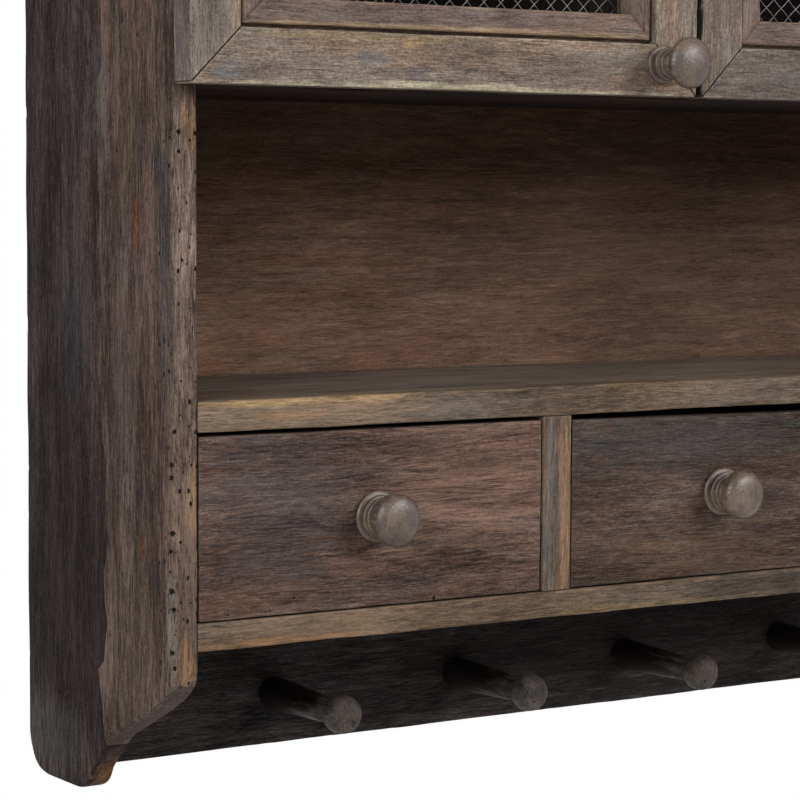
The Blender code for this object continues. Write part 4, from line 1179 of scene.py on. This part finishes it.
def make_nails():
    """Nail heads that hold the back to the shelves, and screw heads along the hanging rail."""
    low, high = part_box("back_panel")
    run = high.x - low.x - 2 * NAIL_MARGIN
    profile = [(-NAIL_SINK, NAIL_R), *arc(-NAIL_SINK, (NAIL_RISE, NAIL_R), 5, 80, 5)]
    shells = []
    for row, node in enumerate(("bottom_board", "niche_shelf", "upper_shelf")):
        z = (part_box(node)[0].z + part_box(node)[1].z) / 2
        for i in range(NAIL_COLUMNS):
            place = (low.x + NAIL_MARGIN + run * i / (NAIL_COLUMNS - 1), high.y, z)
            shells.append(revolved(profile, place, "Y", NAIL_STEPS, NAIL_WOBBLE, row * NAIL_COLUMNS + i))
    add_piece("back_nails", "cabinet", LOOKS["steel"], shells)

    rail_low, rail_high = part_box("hanging_rail")
    profile = [(-RAIL_SCREW_SINK, RAIL_SCREW_R), (RAIL_SCREW_LIFT, RAIL_SCREW_R)]
    profile += arc(RAIL_SCREW_LIFT, (RAIL_SCREW_RISE, RAIL_SCREW_R), 10, 62, 5)
    profile += RAIL_SCREW_RECESS
    shells = []
    for share in RAIL_SCREWS:
        x = rail_low.x + (rail_high.x - rail_low.x) * share
        place = (x, rail_low.y, (rail_low.z + rail_high.z) / 2)
        shells.append(revolved(profile, place, "-Y", RAIL_SCREW_STEPS, 0.0, int(share * 100)))
    add_piece("hanging_rail_screws", "cabinet", LOOKS["steel"], shells)


make_sides()
make_carcass()
make_partition()
make_drawers()
make_door_frames()
make_mouldings()
make_nets()
make_knobs()
make_pegs()
make_hinges()
make_nails()


def area_lamp(name, place, aim, width, height, power):
    data = bpy.data.lights.new(name, "AREA")
    data.shape = "RECTANGLE"
    data.size = width
    data.size_y = height
    data.energy = power
    lamp = bpy.data.objects.new(name, data)
    lamp.location = place
    lamp.rotation_euler = (Vector(aim) - Vector(place)).to_track_quat("-Z", "Y").to_euler()
    bpy.context.scene.collection.objects.link(lamp)


def make_world():
    """White to the camera and in reflections, and a weak even light otherwise."""
    world = bpy.data.worlds.new("studio")
    bpy.context.scene.world = world
    world.use_nodes = True
    nodes, links = world.node_tree.nodes, world.node_tree.links
    ray = nodes.new("ShaderNodeLightPath").outputs
    seen = ray["Is Camera Ray"]
    for kind in ("Is Glossy Ray", "Is Transmission Ray"):
        either = nodes.new("ShaderNodeMath")
        either.operation = "MAXIMUM"
        links.new(seen, either.inputs[0])
        links.new(ray[kind], either.inputs[1])
        seen = either.outputs[0]
    strength = nodes.new("ShaderNodeMapRange")
    links.new(seen, strength.inputs["Value"])
    strength.inputs["To Min"].default_value = AMBIENT
    strength.inputs["To Max"].default_value = 1.0
    background = nodes["Background"]
    background.inputs["Color"].default_value = (1, 1, 1, 1)
    links.new(strength.outputs[0], background.inputs["Strength"])


def make_floor():
    """A pale disc under the cabinet, fading to white at its rim."""
    data = bpy.data.meshes.new("floor")
    angles = [2 * math.pi * i / FLOOR_SIDES for i in range(FLOOR_SIDES)]
    outline = [(FLOOR_R * math.cos(angle), FLOOR_R * math.sin(angle), FLOOR_Z) for angle in angles]
    data.from_pydata(outline, [], [range(FLOOR_SIDES)])
    floor = bpy.data.objects.new("floor", data)
    bpy.context.scene.collection.objects.link(floor)
    tree = Tree("floor")
    tree.shader.inputs["Base Color"].default_value = FLOOR_COLOUR
    tree.shader.inputs["Roughness"].default_value = 0.9
    flat = tree.vector("MULTIPLY", tree.place(), (1, 1, 0)).outputs[0]
    rim = tree.fit(tree.vector("LENGTH", flat).outputs["Value"], *FLOOR_FADE)
    white = tree.node("ShaderNodeEmission", {"Color": (1, 1, 1), "Strength": 1.0})
    blend = tree.node("ShaderNodeMixShader", {0: rim, 1: tree.shader.outputs[0], 2: white.outputs[0]})
    tree.links.new(blend.outputs[0], tree.nodes["Material Output"].inputs["Surface"])
    data.materials.append(tree.material)


def make_camera():
    data = bpy.data.cameras.new("camera")
    data.lens = CAMERA_LENS
    data.sensor_width = SENSOR_W
    camera = bpy.data.objects.new("camera", data)
    bpy.context.scene.collection.objects.link(camera)
    turn = Matrix.Rotation(math.radians(CAMERA_TURN), 4, "Z")
    pitch = Matrix.Rotation(math.radians(90 + CAMERA_PITCH), 4, "X")
    roll = Matrix.Rotation(math.radians(CAMERA_ROLL), 4, "Z")
    camera.matrix_world = Matrix.Translation(CAMERA_PLACE) @ turn @ pitch @ roll
    bpy.context.scene.camera = camera


area_lamp("key", *KEY_LAMP)
area_lamp("fill", *FILL_LAMP)
area_lamp("rear", *REAR_LAMP)
make_world()
make_floor()
make_camera()
bpy.context.scene.view_settings.view_transform = "Standard"
